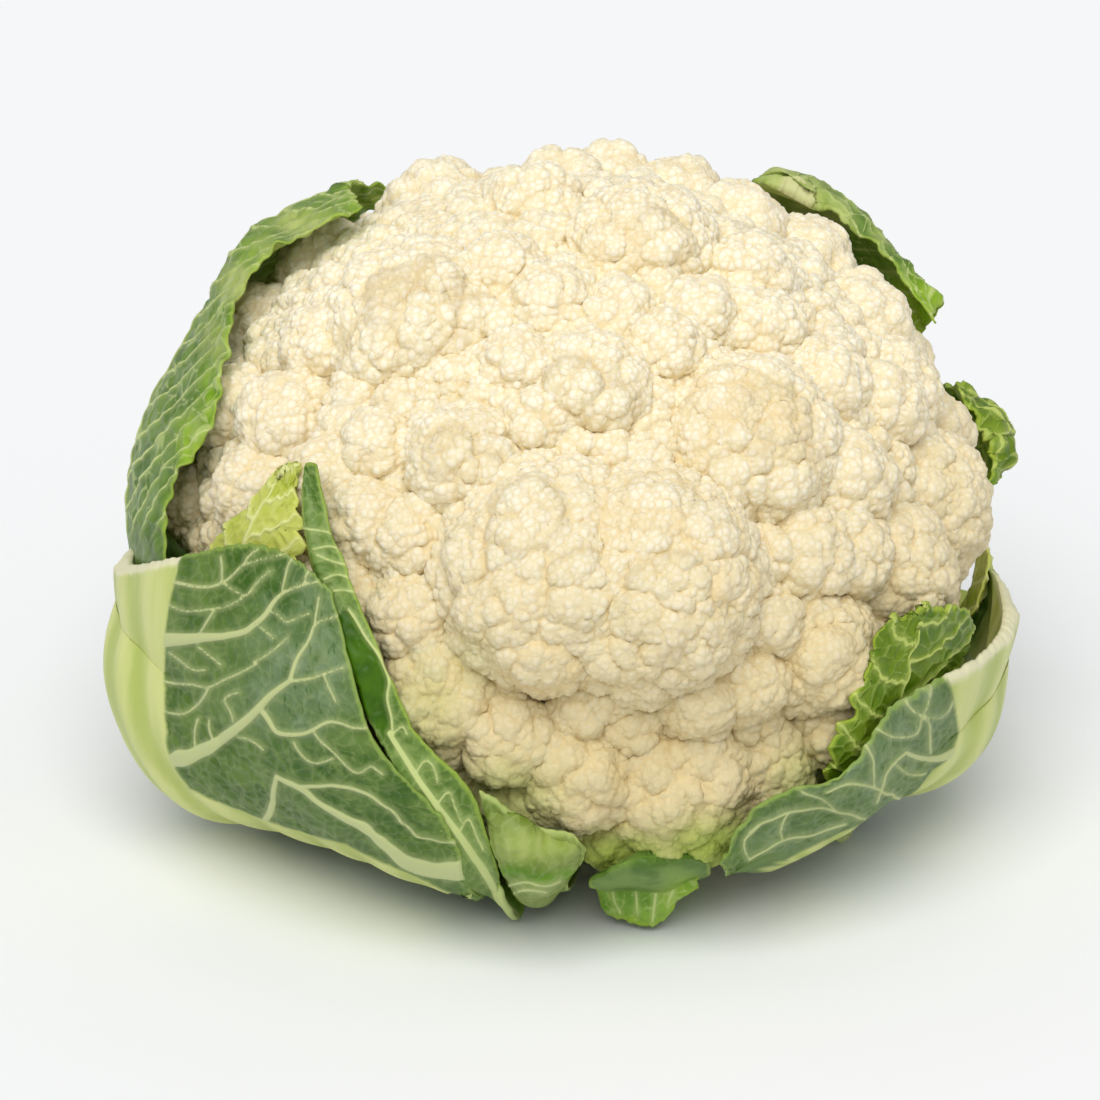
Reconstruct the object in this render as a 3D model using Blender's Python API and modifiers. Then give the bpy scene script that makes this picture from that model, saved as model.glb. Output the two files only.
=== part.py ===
"""A whole cauliflower: a curd of florets on a cut stem, inside trimmed leaves. Metres, +Z up, front is -Y."""
import math
import bpy
import bmesh
import numpy as np

for old in list(bpy.data.objects):
    bpy.data.objects.remove(old, do_unlink=True)

# The head, millimetres: half its width, and its reach above and below the widest ring.
headWide = 85.0
headTop = 66.0
headLow = 50.0
headHigh = 66.0
# The stem under it
stemThick = 20.0
stemSeat = 46.5
# The leaves
bladeThick = 0.8
gap = 0.3
# The florets are listed as they are seen from the front: this steeply from above, from this far away.
seenFrom = math.radians(22.0)
seenFar = 800.0
seenAim = (-5.2, -7.9)
curdFaces = 9000
floretSeed = 11

right = np.array((1.0, 0.0, 0.0))
upward = np.array((0.0, math.sin(seenFrom), math.cos(seenFrom)))
nearer = np.array((0.0, -math.cos(seenFrom), math.sin(seenFrom)))
# The plant's own axis leans towards the front.
axis = 0.06 * right + 0.655 * upward + 0.753 * nearer
axis /= np.linalg.norm(axis)
head = axis * headHigh / axis[2]
sideways = right - axis * (right @ axis)
sideways /= np.linalg.norm(sideways)
frontDown = np.cross(sideways, axis)


def seen(point):
    """Across, up and towards the front as seen, in millimetres, made a place."""
    across, up, near = point
    far = (seenFar - near) / seenFar
    across = (across - seenAim[0]) * far + seenAim[0]
    up = (up - seenAim[1]) * far + seenAim[1]
    return head + across * right + up * upward + near * nearer


def swollen(points, grow):
    """How far out each point is, where 1 is on the head's form grown by so many millimetres."""
    along = (points - head) @ axis
    flat = np.linalg.norm(points - head - along[..., None] * axis, axis=-1)
    tall = np.where(along > 0, headTop + grow, headLow + grow)
    return np.sqrt((flat / (headWide + grow)) ** 2 + (along / tall) ** 2)


def cleared(points, grow, outwards):
    """Points inside the grown head slide out of it, along the line of sight where they face the front."""
    eye = head + seenAim[0] * right + seenAim[1] * upward + seenFar * nearer
    sight = (eye - points) / np.linalg.norm(eye - points, axis=-1, keepdims=True)
    spoke = (points - head) / np.linalg.norm(points - head, axis=-1, keepdims=True)
    share = 0.0 if outwards else np.clip((spoke @ nearer - 0.15) / 0.35, 0, 1)[..., None]
    ray = sight * share + spoke * (1 - share)
    ray /= np.linalg.norm(ray, axis=-1, keepdims=True)
    low = np.zeros(points.shape[:-1])
    high = np.full(points.shape[:-1], 130.0)
    for _ in range(26):
        middle = (low + high) / 2
        inside = swollen(points + ray * middle[..., None], grow) < 1
        low = np.where(inside, middle, low)
        high = np.where(inside, high, middle)
    needed = np.where(swollen(points, grow) < 1, high, 0.0)
    return points + ray * needed[..., None]


# Florets as seen: across, up, radius, and how far one stands proud of the head's form.
frontFlorets = (
    (-5, -13, 23, 4), (14, -15, 23, 5), (34, 12, 19, 3), (-31, 34, 20, 2), (3, 24, 12, 1), (-23, 10, 10, 2),
    (13, 51, 16, 2), (69, 1, 16, 1), (64, -12, 13, 1), (20, -54, 17, 2), (0, -52, 12, 0), (-28, -37, 14, 0),
    (48, -28, 13, 1), (-8, 18, 6, -1), (-12, 30, 7, 0), (-5, 42, 8, 0), (-53, 52, 10, 0), (-63, 36, 11, 0),
    (-51, 33, 9, -1), (-68, 20, 9, 0), (-58, 18, 10, 0), (-75, 2, 10, 0), (-63, 3, 10, 0), (-50, 6, 9, 0),
    (-41, -3, 9, 0), (-33, -6, 9, -1), (-33, -21, 9, 0), (-46, -18, 10, 0), (-28, 60, 13, 0), (-8, 61, 10, 0),
    (8, 68, 8, 0), (22, 66, 10, 0), (33, 58, 10, 0), (25, 39, 7, 0), (38, 37, 8, 0), (35, 47, 9, 0),
    (9, 39, 7, -1), (18, 33, 8, 0), (47, 50, 11, 0), (57, 37, 12, 0), (50, 26, 9, 0), (62, 21, 9, 0),
    (54, 6, 10, 0), (46, -9, 10, 0), (55, -9, 9, 0), (-14, -46, 9, 0), (25, -38, 8, -1), (34, -35, 8, -1),
    (10, -64, 9, 0), (51, -43, 9, 0), (39, -22, 7, -1), (37, -51, 11, 0), (-12, -59, 8, -1), (28, -64, 8, 0),
    (-44, -34, 9, 0), (39, -9, 6, -2), (-40, 12, 8, -1), (-14, 48, 8, 0),
)
# Lobes on the larger florets: which floret, across, up and radius.
lobes = (
    (0, -10, -1, 10), (0, -20, -20, 9), (0, -7, -32, 9), (0, 2, -16, 10), (0, -22, -9, 8), (0, -14, -27, 8),
    (1, 18, 2, 10), (1, 28, -4, 9), (1, 20, -19, 12), (1, 27, -27, 10), (1, 8, -31, 9), (1, 33, -14, 8),
    (2, 23, 15, 8), (2, 32, 24, 9), (2, 43, 20, 9), (2, 44, 8, 9), (2, 34, 6, 9), (2, 26, 3, 7),
    (3, -36, 21, 8), (3, -22, 26, 8), (3, -42, 33, 9), (3, -31, 40, 9), (3, -20, 39, 8), (3, -39, 46, 7),
    (3, -28, 49, 7), (4, 0, 26, 7), (4, 7, 21, 7), (5, -26, 13, 6), (5, -20, 7, 6), (6, 7, 54, 8),
    (6, 18, 56, 8), (6, 12, 43, 8), (7, 63, 6, 8), (7, 73, 6, 8), (7, 66, -6, 8), (8, 61, -18, 7),
    (9, 13, -50, 9), (9, 26, -48, 9), (9, 20, -60, 9), (9, 12, -60, 7), (9, 30, -57, 8), (10, -4, -50, 7),
    (10, 3, -55, 7), (11, -31, -31, 8), (11, -22, -40, 8), (11, -34, -42, 7),
    (12, 43, -24, 8), (12, 52, -31, 8),
)


def lattice(count):
    """Directions spread evenly over a ball."""
    step = np.arange(count) + 0.5
    high = 1 - 2 * step / count
    turn = step * math.pi * (3 - math.sqrt(5))
    flat = np.sqrt(1 - high**2)
    return np.stack((flat * np.cos(turn), flat * np.sin(turn), high), axis=1)


def onHeads(directions, sink):
    """The points of the head's form, shrunk by sink, in these directions."""
    along = directions @ axis
    flat = np.sqrt(np.clip(1 - along**2, 0, 1))
    tall = np.where(along > 0, headTop, headLow) - sink
    far = 1 / np.sqrt((flat / (headWide - sink)) ** 2 + (along / tall) ** 2)
    return head + directions * far[..., None]


def onHead(direction, sink):
    return onHeads(direction[None], sink)[0]


def seenOnHead(across, up, sink):
    """Where the line of sight meets the shrunk head, or comes nearest to it."""
    best = None
    for near in np.linspace(95, -30, 126):
        point = seen((across, up, near))
        size = float(swollen(point, -sink))
        if best is None or size < best[0]:
            best = (size, point)
        if size <= 1:
            break
    offset = best[1] - head
    return onHead(offset / np.linalg.norm(offset), sink)


def onFloret(parent, across, up, size):
    """A lobe's middle, where the line of sight meets its floret."""
    place, wide = parent
    best = None
    for near in np.linspace(100, -20, 241):
        point = seen((across, up, near))
        away = np.linalg.norm(point - place)
        if best is None or away < best[0]:
            best = (away, point)
        if away <= wide:
            break
    outward = (best[1] - place) / best[0]
    return place + outward * (wide - 0.72 * size)


def allFlorets():
    mains = [(seenOnHead(a, u, 0.92 * r + 2.0 - proud), float(r)) for a, u, r, proud in frontFlorets]
    found = mains + [(onFloret(mains[k], a, u, r), float(r)) for k, a, u, r in lobes]
    spread = np.random.default_rng(floretSeed)
    for direction in lattice(150):
        direction = direction + spread.normal(0, 0.07, 3)
        direction /= np.linalg.norm(direction)
        size = spread.uniform(10, 15)
        lean = direction @ axis
        if lean < -0.42:
            continue
        size *= 1 - 0.3 * max(0.0, lean)
        place = onHead(direction, 0.92 * size + 2.0)
        if all(np.linalg.norm(place - other) > 0.66 * (size + r) for other, r in found):
            found.append((place, size))
    return found


florets = allFlorets()


def bumps(budSize, spacing):
    """Small buds in a spiral over each floret, none of them inside a neighbour."""
    centres = np.array([place for place, _ in florets])
    sizes = np.array([size for _, size in florets])
    found = []
    turns = np.random.default_rng(floretSeed + 1)
    for place, size in florets:
        outward = (place - head) / np.linalg.norm(place - head)
        count = int(4 * math.pi * size**2 / (0.87 * spacing**2))
        tilt = np.linalg.qr(turns.normal(size=(3, 3)))[0]
        for direction in lattice(max(8, count)) @ tilt:
            if direction @ outward < -0.15:
                continue
            bud = place + direction * (size - 0.6 * budSize)
            buried = np.linalg.norm(centres - bud, axis=1) < sizes - 0.9 * budSize
            if not buried.any():
                found.append((bud, budSize * turns.uniform(0.88, 1.1)))
    return found


def reach(directions, balls):
    """How far out the outermost ball reaches in each direction from the head's middle."""
    far = np.zeros(len(directions))
    for place, size in balls:
        offset = place - head
        along = directions @ offset
        inside = along**2 - (offset @ offset) + size**2
        hit = inside > 0
        far[hit] = np.maximum(far[hit], along[hit] + np.sqrt(inside[hit]))
    return far


collection = bpy.data.collections.new("cauliflower")
cutters = bpy.data.collections.new("cutters")
bpy.context.scene.collection.children.link(collection)
bpy.context.scene.collection.children.link(cutters)
cutters.hide_render = True


def painted(name, colour, rough):
    material = bpy.data.materials.new(name)
    material.use_nodes = True
    shader = material.node_tree.nodes["Principled BSDF"]
    shader.inputs["Base Color"].default_value = (*colour, 1)
    shader.inputs["Roughness"].default_value = rough
    shader.inputs["Metallic"].default_value = 0
    return material


def added(name, mesh, colour, rough, where=collection):
    obj = bpy.data.objects.new(name, mesh)
    where.objects.link(obj)
    mesh.materials.append(painted(name, colour, rough))
    mesh.polygons.foreach_set("use_smooth", [True] * len(mesh.polygons))
    return obj


def settled(obj):
    """Modifiers made plain mesh."""
    graph = bpy.context.evaluated_depsgraph_get()
    mesh = bpy.data.meshes.new_from_object(obj.evaluated_get(graph))
    obj.modifiers.clear()
    old = obj.data
    obj.data = mesh
    bpy.data.meshes.remove(old)
    return obj


def curd():
    made = bmesh.new()
    bmesh.ops.create_icosphere(made, subdivisions=7, radius=1.0)
    mesh = bpy.data.meshes.new("curd")
    made.to_mesh(mesh)
    made.free()
    directions = np.empty(len(mesh.vertices) * 3)
    mesh.vertices.foreach_get("co", directions)
    directions = directions.reshape(-1, 3)
    directions /= np.linalg.norm(directions, axis=1, keepdims=True)
    along = directions @ axis
    flat = np.sqrt(np.clip(1 - along**2, 0, 1))
    tall = np.where(along > 0, headTop, headLow)
    core = 0.84 / np.sqrt((flat / headWide) ** 2 + (along / tall) ** 2)
    far = np.maximum(core, reach(directions, florets + bumps(5.2, 9.0)))
    form = np.linalg.norm(onHeads(directions, -1.0) - head, axis=1)
    facing = directions @ ((florets[1][0] - head) / np.linalg.norm(florets[1][0] - head))
    form += 6.0 * np.exp(-((np.arccos(np.clip(facing, -1, 1)) / 0.62) ** 4))
    far = np.where(far > form, form + 0.3 * (far - form), far)
    seat = np.where(along < -0.05, stemSeat / np.maximum(-along, 0.05), 1e9)
    far = np.minimum(far, np.where(flat / np.maximum(-along, 1e-3) * stemSeat < 30, seat, 1e9))
    points = (head + directions * far[:, None]) / 1000
    mesh.vertices.foreach_set("co", points.ravel())
    obj = added("curd", mesh, (0.86, 0.79, 0.62), 0.6)
    fewer = obj.modifiers.new("fewer", "DECIMATE")
    fewer.ratio = curdFaces / len(mesh.polygons)
    return settled(obj)


def stem():
    """The cut stem: a turned form along the plant's axis, sliced level where it stands."""
    made = bmesh.new()
    bmesh.ops.create_cone(made, cap_ends=True, segments=40, radius1=stemThick / 1000,
                          radius2=(stemThick + 5) / 1000, depth=0.06)
    mesh = bpy.data.meshes.new("stem")
    made.to_mesh(mesh)
    made.free()
    points = np.empty(len(mesh.vertices) * 3)
    mesh.vertices.foreach_get("co", points)
    points = points.reshape(-1, 3) * 1000
    placed = head + points[:, :1] * sideways - points[:, 1:2] * frontDown
    placed = placed + (points[:, 2:] - 30 - stemSeat - gap) * axis
    mesh.vertices.foreach_set("co", (placed / 1000).ravel())
    obj = added("stem", mesh, (0.72, 0.75, 0.45), 0.6)
    floor = bmesh.new()
    bmesh.ops.create_cube(floor, size=0.2)
    bmesh.ops.translate(floor, verts=floor.verts, vec=(0, 0, -0.1))
    slab = bpy.data.meshes.new("floor")
    floor.to_mesh(slab)
    floor.free()
    below = added("floor", slab, (0.5, 0.5, 0.5), 0.5, cutters)
    cut = obj.modifiers.new("cut", "BOOLEAN")
    cut.operation = "DIFFERENCE"
    cut.solver = "EXACT"
    cut.object = below
    settled(obj)
    bpy.data.objects.remove(below, do_unlink=True)
    return obj


def spline(knots, values, at):
    """A natural cubic through values at knots, read at other places."""
    count = len(knots)
    steps = np.diff(knots)
    system = np.zeros((count, count))
    target = np.zeros(values.shape)
    system[0, 0] = system[-1, -1] = 1
    for i in range(1, count - 1):
        system[i, i - 1:i + 2] = steps[i - 1], 2 * (steps[i - 1] + steps[i]), steps[i]
        target[i] = 6 * ((values[i + 1] - values[i]) / steps[i] - (values[i] - values[i - 1]) / steps[i - 1])
    bend = np.linalg.solve(system, target.reshape(count, -1)).reshape(values.shape)
    spot = np.clip(np.searchsorted(knots, at) - 1, 0, count - 2)
    shape = (-1,) + (1,) * (values.ndim - 1)
    wide = steps[spot].reshape(shape)
    b = ((at - knots[spot]) / steps[spot]).reshape(shape)
    a = 1 - b
    curve = (a**3 - a) * bend[spot] + (b**3 - b) * bend[spot + 1]
    return a * values[spot] + b * values[spot + 1] + curve * wide**2 / 6


def rootRows(turn, wide, seat, radii, count, hang):
    """The leaf stalk from the stem outwards, under the head, as rows of so many points."""
    rows = []
    for k, radius in enumerate(radii):
        half = wide / 2 / radius
        low = seat if k == 0 else headLow * math.sqrt(1 - (radius / headWide) ** 2) + hang
        angles = math.radians(turn) + np.linspace(half, -half, count)
        centre = head - low * axis
        row = [centre + radius * (math.cos(a) * sideways + math.sin(a) * frontDown) for a in angles]
        rows.append(row)
    return rows


def leafGrid(leaf, rows, columns):
    """The leaf's inner face as a grid of points, and how thick it is at each."""
    place = ringPlace if leaf.get("ring") else seen
    hand = [[place(point) for point in row] for row in leaf["rows"]]
    count = len(hand[0])
    turn, wide, seat, radii, hang = leaf["root"]
    net = np.array(rootRows(turn, wide, seat, radii, count, hang) + hand)
    if leaf.get("mirrored"):
        net[:len(radii)] = net[:len(radii), ::-1]
    middle = net.mean(axis=1)
    down = np.concatenate(([0], np.cumsum(np.linalg.norm(np.diff(middle, axis=0), axis=1) ** 0.6)))
    widths = np.linalg.norm(np.diff(net[len(radii):], axis=1), axis=2).mean(axis=0)
    across = np.concatenate(([0], np.cumsum(widths)))
    s = np.linspace(0, 1, rows)
    t = np.linspace(0, 1, columns)
    dense = spline(down, net, s * down[-1])
    dense = spline(across, dense.transpose(1, 0, 2), t * across[-1]).transpose(1, 0, 2)
    ribAt, ribWide, ribs = leaf["rib"]
    place = np.interp(t, across / across[-1], np.arange(count))
    ribs = np.interp(s, np.linspace(0, 1, len(ribs)), ribs)
    shape = np.exp(-((place - ribAt) / ribWide) ** 2 * 1.2)
    stalk = np.clip(1 - s * len(net) / (len(radii) + 0.6), 0, 1)[:, None]
    thick = bladeThick + ribs[:, None] * np.maximum(shape[None, :], 0.55 * stalk)
    return dense, thick, s, t


def wavy(leaf, grid, s, t):
    """Waves along the free edges, and teeth cut into them."""
    teeth, waves, high, cycles = leaf["edge"]
    grid = grid.copy()
    du = np.gradient(grid, axis=1)
    ds = np.gradient(grid, axis=0)
    normal = np.cross(du, ds)
    normal /= np.maximum(np.linalg.norm(normal, axis=2, keepdims=True), 1e-9)
    normal *= np.sign(((grid - head) * normal).sum())
    free = np.clip((s - 0.35) / 0.2, 0, 1)[:, None]
    rim = np.maximum(np.abs(2 * t[None, :] - 1) ** 4, np.clip((s[:, None] - 0.8) / 0.2, 0, 1) ** 2)
    wave = np.sin(s[:, None] * cycles * 2 * math.pi + 3 * t[None, :]) * high
    grid += normal * (free * rim * (wave + high))[..., None] * waves
    for k in range(len(s) - 1):
        if teeth and s[k] > 0.4 and k % 2:
            grid[k, 0] += (grid[k, 1] - grid[k, 0]) * teeth
            grid[k, -1] += (grid[k, -2] - grid[k, -1]) * teeth
    if teeth:
        grid[-1, 1:-1:2] += (grid[-2, 1:-1:2] - grid[-1, 1:-1:2]) * teeth
    return grid


# Each leaf: its stalk from the stem (turn about the stem, width, height on it, rings, and how far it hangs
# below the head), then rows of places across, up and towards the front as seen, from stalk to free edge.
leaves = {
    "leaf_left": {
        "root": (152, 22, 57, (19, 34, 50), 7.6), "size": (20, 16), "clear": 7.0,
        "rib": (3.0, 1.15, (6, 8, 8.5, 8.5, 8.5, 8, 8)), "edge": (0.0, 0.5, 0.6, 2.0),
        "rows": (
            ((-52, -36, -36), (-56, -42, -30), (-58, -48, -22), (-58, -52, -14), (-56, -58, -4),
             (-46, -66, 10),
             (-35, -71, 20), (-24, -74, 24)),
            ((-70, -32, -28), (-74, -38, -20), (-76, -46, -10), (-76, -53, 0), (-70, -60, 12),
             (-56, -66.5, 28),
             (-40, -70.5, 38), (-25, -72, 40)),
            ((-81, -26, -26), (-84, -31, -16), (-86, -38, -4), (-85, -44, 8), (-81, -50, 22), (-64, -57, 42),
             (-48, -60, 53), (-30, -61, 59)),
            ((-86, -16, -24), (-88, -20, -15), (-90, -25, -4), (-90, -32, 9), (-86, -36, 26), (-70, -42, 47),
             (-54, -47, 58), (-39.5, -50, 63)),
            ((-87, -8, -22), (-88, -11, -14), (-90, -14, -4), (-89, -19, 8), (-85, -22, 26), (-71, -25, 49),
             (-57, -30, 61), (-45.5, -34, 67)),
            ((-86, -3, -20), (-87, -5, -13), (-88, -6, -4), (-87, -9, 7), (-82, -10, 24), (-71, -6.7, 47),
             (-60, -8, 61), (-50, -16, 68)),
        ),
    },
    "leaf_front_left": {
        "root": (107, 8, 54, (19, 34, 50), 4.9), "size": (22, 5), "clear": 4.4,
        "rib": (0.7, 0.6, (2.4, 2.4, 2.6, 3.0, 2.6, 1.8, 1.2, 0.8, 0.5)), "edge": (0.3, 0.5, 0.4, 4.0),
        "rows": (
            ((-19, -70, 18), (-17, -71, 18), (-14, -72, 18), (-11, -73, 18)),
            ((-26, -73.5, 44), (-20.5, -76.5, 42), (-15, -81, 35), (-11.5, -84.5, 30)),
            ((-26.5, -67, 49), (-23, -69, 51), (-19, -70, 52), (-16.5, -72, 52)),
            ((-33, -58, 57), (-30.5, -57.5, 58), (-26, -57, 59), (-22, -57, 59)),
            ((-40.5, -47.5, 61), (-38, -46.5, 62), (-35, -46, 62), (-31.5, -47, 62)),
            ((-46, -35, 64), (-43, -34, 65), (-40, -33.5, 66), (-37.5, -35, 66)),
            ((-51, -22, 65), (-48, -21, 66), (-45, -21, 67), (-43, -23, 67)),
            ((-55, -9, 63), (-52.5, -9.5, 64), (-50, -9.5, 65), (-47.5, -11, 66)),
            ((-56.5, 1, 62), (-54.5, 0.5, 63), (-52.5, 0, 64), (-50.5, -2.5, 65)),
            ((-56, 9, 61), (-55.3, 10, 61), (-54.5, 10.5, 62), (-54, 9.5, 62)),
        ),
    },
    "leaf_inner_left": {
        "root": (158, 10, 51, (19, 34, 52, 68), 2.8), "size": (16, 7), "clear": 2.4,
        "rib": (1.5, 0.7, (2.0, 1.8, 1.5, 1.0, 0.6, 0.3)), "edge": (0.45, 0.3, 0.4, 5.0),
        "rows": (
            ((-74, -34, 28), (-70, -36, 34), (-65, -38, 40), (-60, -40, 44)),
            ((-78, -22, 34), (-72, -24, 44), (-63, -24, 54), (-54, -23, 62)),
            ((-79, -13, 36), (-72, -14, 46), (-63, -14, 56), (-55, -13, 62)),
            ((-76, -6, 40), (-70, -5, 49), (-63, -5, 56), (-56.5, -5, 61)),
            ((-69, 1, 47), (-65, 1.5, 52), (-61, 2, 57), (-58, 2, 60)),
            ((-62.5, 7.5, 54), (-61, 8, 56), (-59, 8, 58), (-58, 8, 59)),
            ((-59, 9.5, 57), (-58.3, 10, 58), (-57.8, 10.3, 58), (-57.2, 10.5, 59)),
        ),
    },
    "leaf_front_stub": {
        "root": (88, 8, 53, (19, 34, 50), 3.5), "size": (12, 9), "clear": 3.0,
        "rib": (2.0, 1.2, (2.4, 2.4, 2.2, 1.6, 1.0)), "edge": (0.0, 0.2, 0.4, 2.0),
        "rows": (
            ((-13.5, -73.5, 34), (-12, -77, 34), (-8, -79, 34), (-5, -78.5, 34), (-3, -76.5, 34),
             (-1.5, -74.5, 34)),
            ((-14.5, -74, 50), (-12, -76.5, 49), (-9, -78, 49), (-4.5, -77.5, 48), (-1, -75, 47),
             (0.5, -72.5, 46)),
            ((-16, -71, 58), (-14, -73, 60), (-10, -74.5, 60), (-5, -75, 58), (0, -72.5, 56), (1.5, -71, 52)),
            ((-18, -65, 62), (-15, -66, 65), (-11, -68, 65), (-6, -70, 63), (0, -69.5, 60), (2.2, -69.7, 55)),
            ((-20, -57.5, 62), (-16.5, -59, 63), (-12, -62.5, 62), (-7, -65.5, 60), (-1, -67, 57),
             (2, -69, 53)),
        ),
    },
    "leaf_front_right": {
        "root": (68, 8, 53, (19, 34, 50), 3.5), "size": (11, 10), "clear": 3.0,
        "rib": (2.0, 0.8, (2.4, 2.2, 1.6, 1.0, 0.6)), "edge": (0.4, 0.8, 0.6, 1.5),
        "rows": (
            ((3, -71, 30), (9, -71, 32), (16, -70.5, 33), (22, -70.5, 34), (27, -70.5, 34)),
            ((1.5, -75.2, 36), (8, -74, 39), (15, -73, 41), (22, -72.6, 42), (27.8, -72.6, 42)),
            ((2.5, -78, 35), (9, -79.5, 37), (15.5, -80, 38), (21, -78, 40), (27, -75, 42)),
            ((6, -83.5, 32), (10, -85.2, 32), (16, -86.2, 33), (20, -83, 35), (25.5, -77.5, 41)),
        ),
    },
    "leaf_right": {
        "root": (6, 18, 55, (19, 34, 50), 7), "size": (16, 16), "clear": 5.8, "mirrored": True,
        "rib": (2.0, 1.0, (6, 7.5, 8, 8, 7.5, 7)), "edge": (0.3, 0.6, 0.6, 2.5),
        "rows": (
            ((54, -34, -32), (58, -42, -24), (60, -49, -14), (58, -55, 0), (52, -60, 12), (46, -64, 24),
             (38, -68, 33), (31.5, -73, 38)),
            ((70, -32, -24), (74, -40, -16), (75, -48, -4), (71, -55, 12), (62, -60.5, 28), (52, -64.5, 38),
             (42, -68, 43), (31, -74, 42)),
            ((78, -26, -22), (81, -32, -12), (82, -41, 2), (78, -49, 20), (66, -56, 38), (55, -60, 47),
             (43, -64.5, 49), (30.5, -74, 44)),
            ((81, -21, -20), (83, -26, -11), (84, -33, 3), (79, -40, 21), (66, -49, 42), (56, -56, 51),
             (42, -61, 53), (30, -73.5, 45)),
            ((82, -17, -18), (83, -20, -10), (82.5, -24, 3), (76, -27, 22), (62, -45, 47), (54, -54.5, 55),
             (39, -60, 55), (29.6, -73, 46)),
        ),
    },
    "leaf_inner_right": {
        "root": (8, 10, 51, (19, 34, 52, 68), 2.8), "size": (16, 7), "clear": 2.4,
        "rib": (1.6, 0.8, (2.0, 1.8, 1.4, 1.0, 0.6)), "edge": (0.45, 1.0, 0.6, 4.0),
        "rows": (
            ((52, -53, 30), (57, -52, 26), (64, -48, 20), (70, -42, 12)),
            ((51, -51, 50), (56, -51, 45), (64, -48, 36), (71, -44, 26)),
            ((54, -45, 53), (59, -45, 49), (67, -42, 38), (75, -38, 24)),
            ((57, -38, 53), (62, -37, 49), (70, -33, 38), (78, -30, 22)),
            ((61, -30, 52), (66, -28, 46), (72, -26, 38), (79, -24, 22)),
            ((64, -21.5, 50), (68, -18.5, 46), (73, -18, 38), (79, -18.5, 24)),
        ),
    },
    "leaf_right_rear": {
        "root": (-14, 9, 51, (19, 34, 52, 70), 2.8), "outwards": True, "size": (12, 5), "clear": 2.4,
        "rib": (1.0, 0.7, (2.0, 1.6, 1.2, 0.6)), "edge": (0.3, 0.3, 0.5, 2.0),
        "rows": (
            ((78, -26, -30), (80, -22, -36), (80, -16, -44)),
            ((83, -24, -24), (87, -21, -28), (88, -16, -34)),
            ((81.5, -17, -16), (85, -16, -20), (87, -17, -26)),
            ((82, -11, -12), (82.7, -9.8, -14), (84, -12, -18)),
        ),
    },
    "leaf_back_left": {
        "root": (196, 16, 56, (19, 34, 52, 70), 7), "outwards": True, "size": (24, 8), "clear": 2.4,
        "rib": (2.0, 0.8, (6, 5, 4, 3, 2.2, 1.8, 1.4, 1.0)), "edge": (0.3, 0.5, 0.5, 5.0),
        "rows": (
            ((-70, -8, -60), (-80, -14, -44), (-86, -18, -22), (-86, -19, 0), (-83, -19, 22)),
            ((-76, 2, -52), (-86, -3, -32), (-91, -5, -8), (-89.5, -6, 16), (-84.5, -5, 32)),
            ((-76, 15, -46), (-86, 9, -28), (-91, 7, -6), (-88.5, 6, 16), (-82.5, 6, 34)),
            ((-72, 27, -46), (-82, 22, -28), (-88.5, 18, -6), (-85, 16, 18), (-77, 14, 38)),
            ((-62, 41, -46), (-73, 36, -30), (-82, 31, -8), (-79.5, 29, 12), (-72.5, 26, 36)),
            ((-52, 52, -44), (-64, 48, -32), (-74.5, 44, -12), (-74, 42, 4), (-70.5, 41, 24)),
            ((-44, 60, -42), (-55, 58, -32), (-66.5, 57, -16), (-66.5, 55, -4), (-63, 53, 12)),
            ((-38, 65, -38), (-46, 64.5, -30), (-55, 63.5, -18), (-55, 61, -6), (-51.5, 58.5, 18)),
            ((-37, 66, -32), (-41.5, 67.5, -26), (-46, 68, -18), (-45.5, 66, -8), (-43, 63, 16)),
        ),
    },
    "leaf_back_right": {
        "root": (-62, 16, 56, (19, 34, 52, 70), 7), "outwards": True, "size": (16, 9),
        "clear": 2.6, "mirrored": True,
        "rib": (1.0, 0.8, (6, 6, 6, 5, 4.5, 4)), "edge": (0.3, 0.7, 0.5, 2.0),
        "rows": (
            ((18, 36, -72), (26, 34, -72), (40, 29, -66), (52, 20, -58), (60, 8, -50)),
            ((26, 53, -58), (34, 53, -60), (48, 48, -56), (60, 39, -46), (69, 28, -38)),
            ((32, 61, -42), (40, 62, -45), (51, 60, -42), (64, 50, -32), (74, 39, -22)),
            ((35, 66, -28), (42, 66.5, -31), (53, 65.5, -28), (66, 53.5, -18), (75.5, 42, -12)),
            ((37, 66, -20), (44, 63, -20), (53, 60.5, -18), (65.5, 50, -10), (73.5, 37, -4)),
        ),
    },
    "leaf_right_curl": {
        "root": (-27, 12, 53, (19, 34, 52, 70), 4), "outwards": True, "size": (14, 7), "clear": 2.4,
        "rib": (1.4, 0.7, (3.5, 3, 2.4, 1.4, 0.8)), "edge": (0.35, 0.8, 0.5, 2.5),
        "rows": (
            ((74, -2, -52), (77, 6, -54), (76, 16, -54), (70, 24, -54)),
            ((82, 5, -34), (85, 11, -38), (84, 19, -40), (77, 26, -40)),
            ((84.5, 5, -22), (89.5, 13, -26), (86.5, 20.5, -28), (79, 27, -28)),
            ((84.5, 4, -12), (86, 12, -15), (82, 19.5, -16), (74.5, 27, -16)),
        ),
    },
    "leaf_rear_left": {
        "root": (-128, 14, 60, (19, 34, 52, 70), 9), "outwards": True, "size": (11, 6),
        "clear": 4.0, "ring": True,
        "rib": (1.5, 0.8, (6, 5, 4, 3)), "edge": (0.3, 0.6, 0.6, 2.0),
        "rows": (
            ((-112, 122, 9), (-123, 123, 10), (-133, 123, 10), (-143, 122, 10)),
            ((-108, 110, 9), (-122, 112, 11), (-134, 112, 11), (-146, 110, 12)),
            ((-109, 100, 10), (-122, 98, 12), (-134, 98, 13), (-143, 100, 13)),
        ),
    },
    "leaf_rear_right": {
        "root": (-94, 14, 56, (19, 34, 52, 70), 7), "outwards": True, "size": (11, 6),
        "clear": 3.0, "ring": True,
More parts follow.
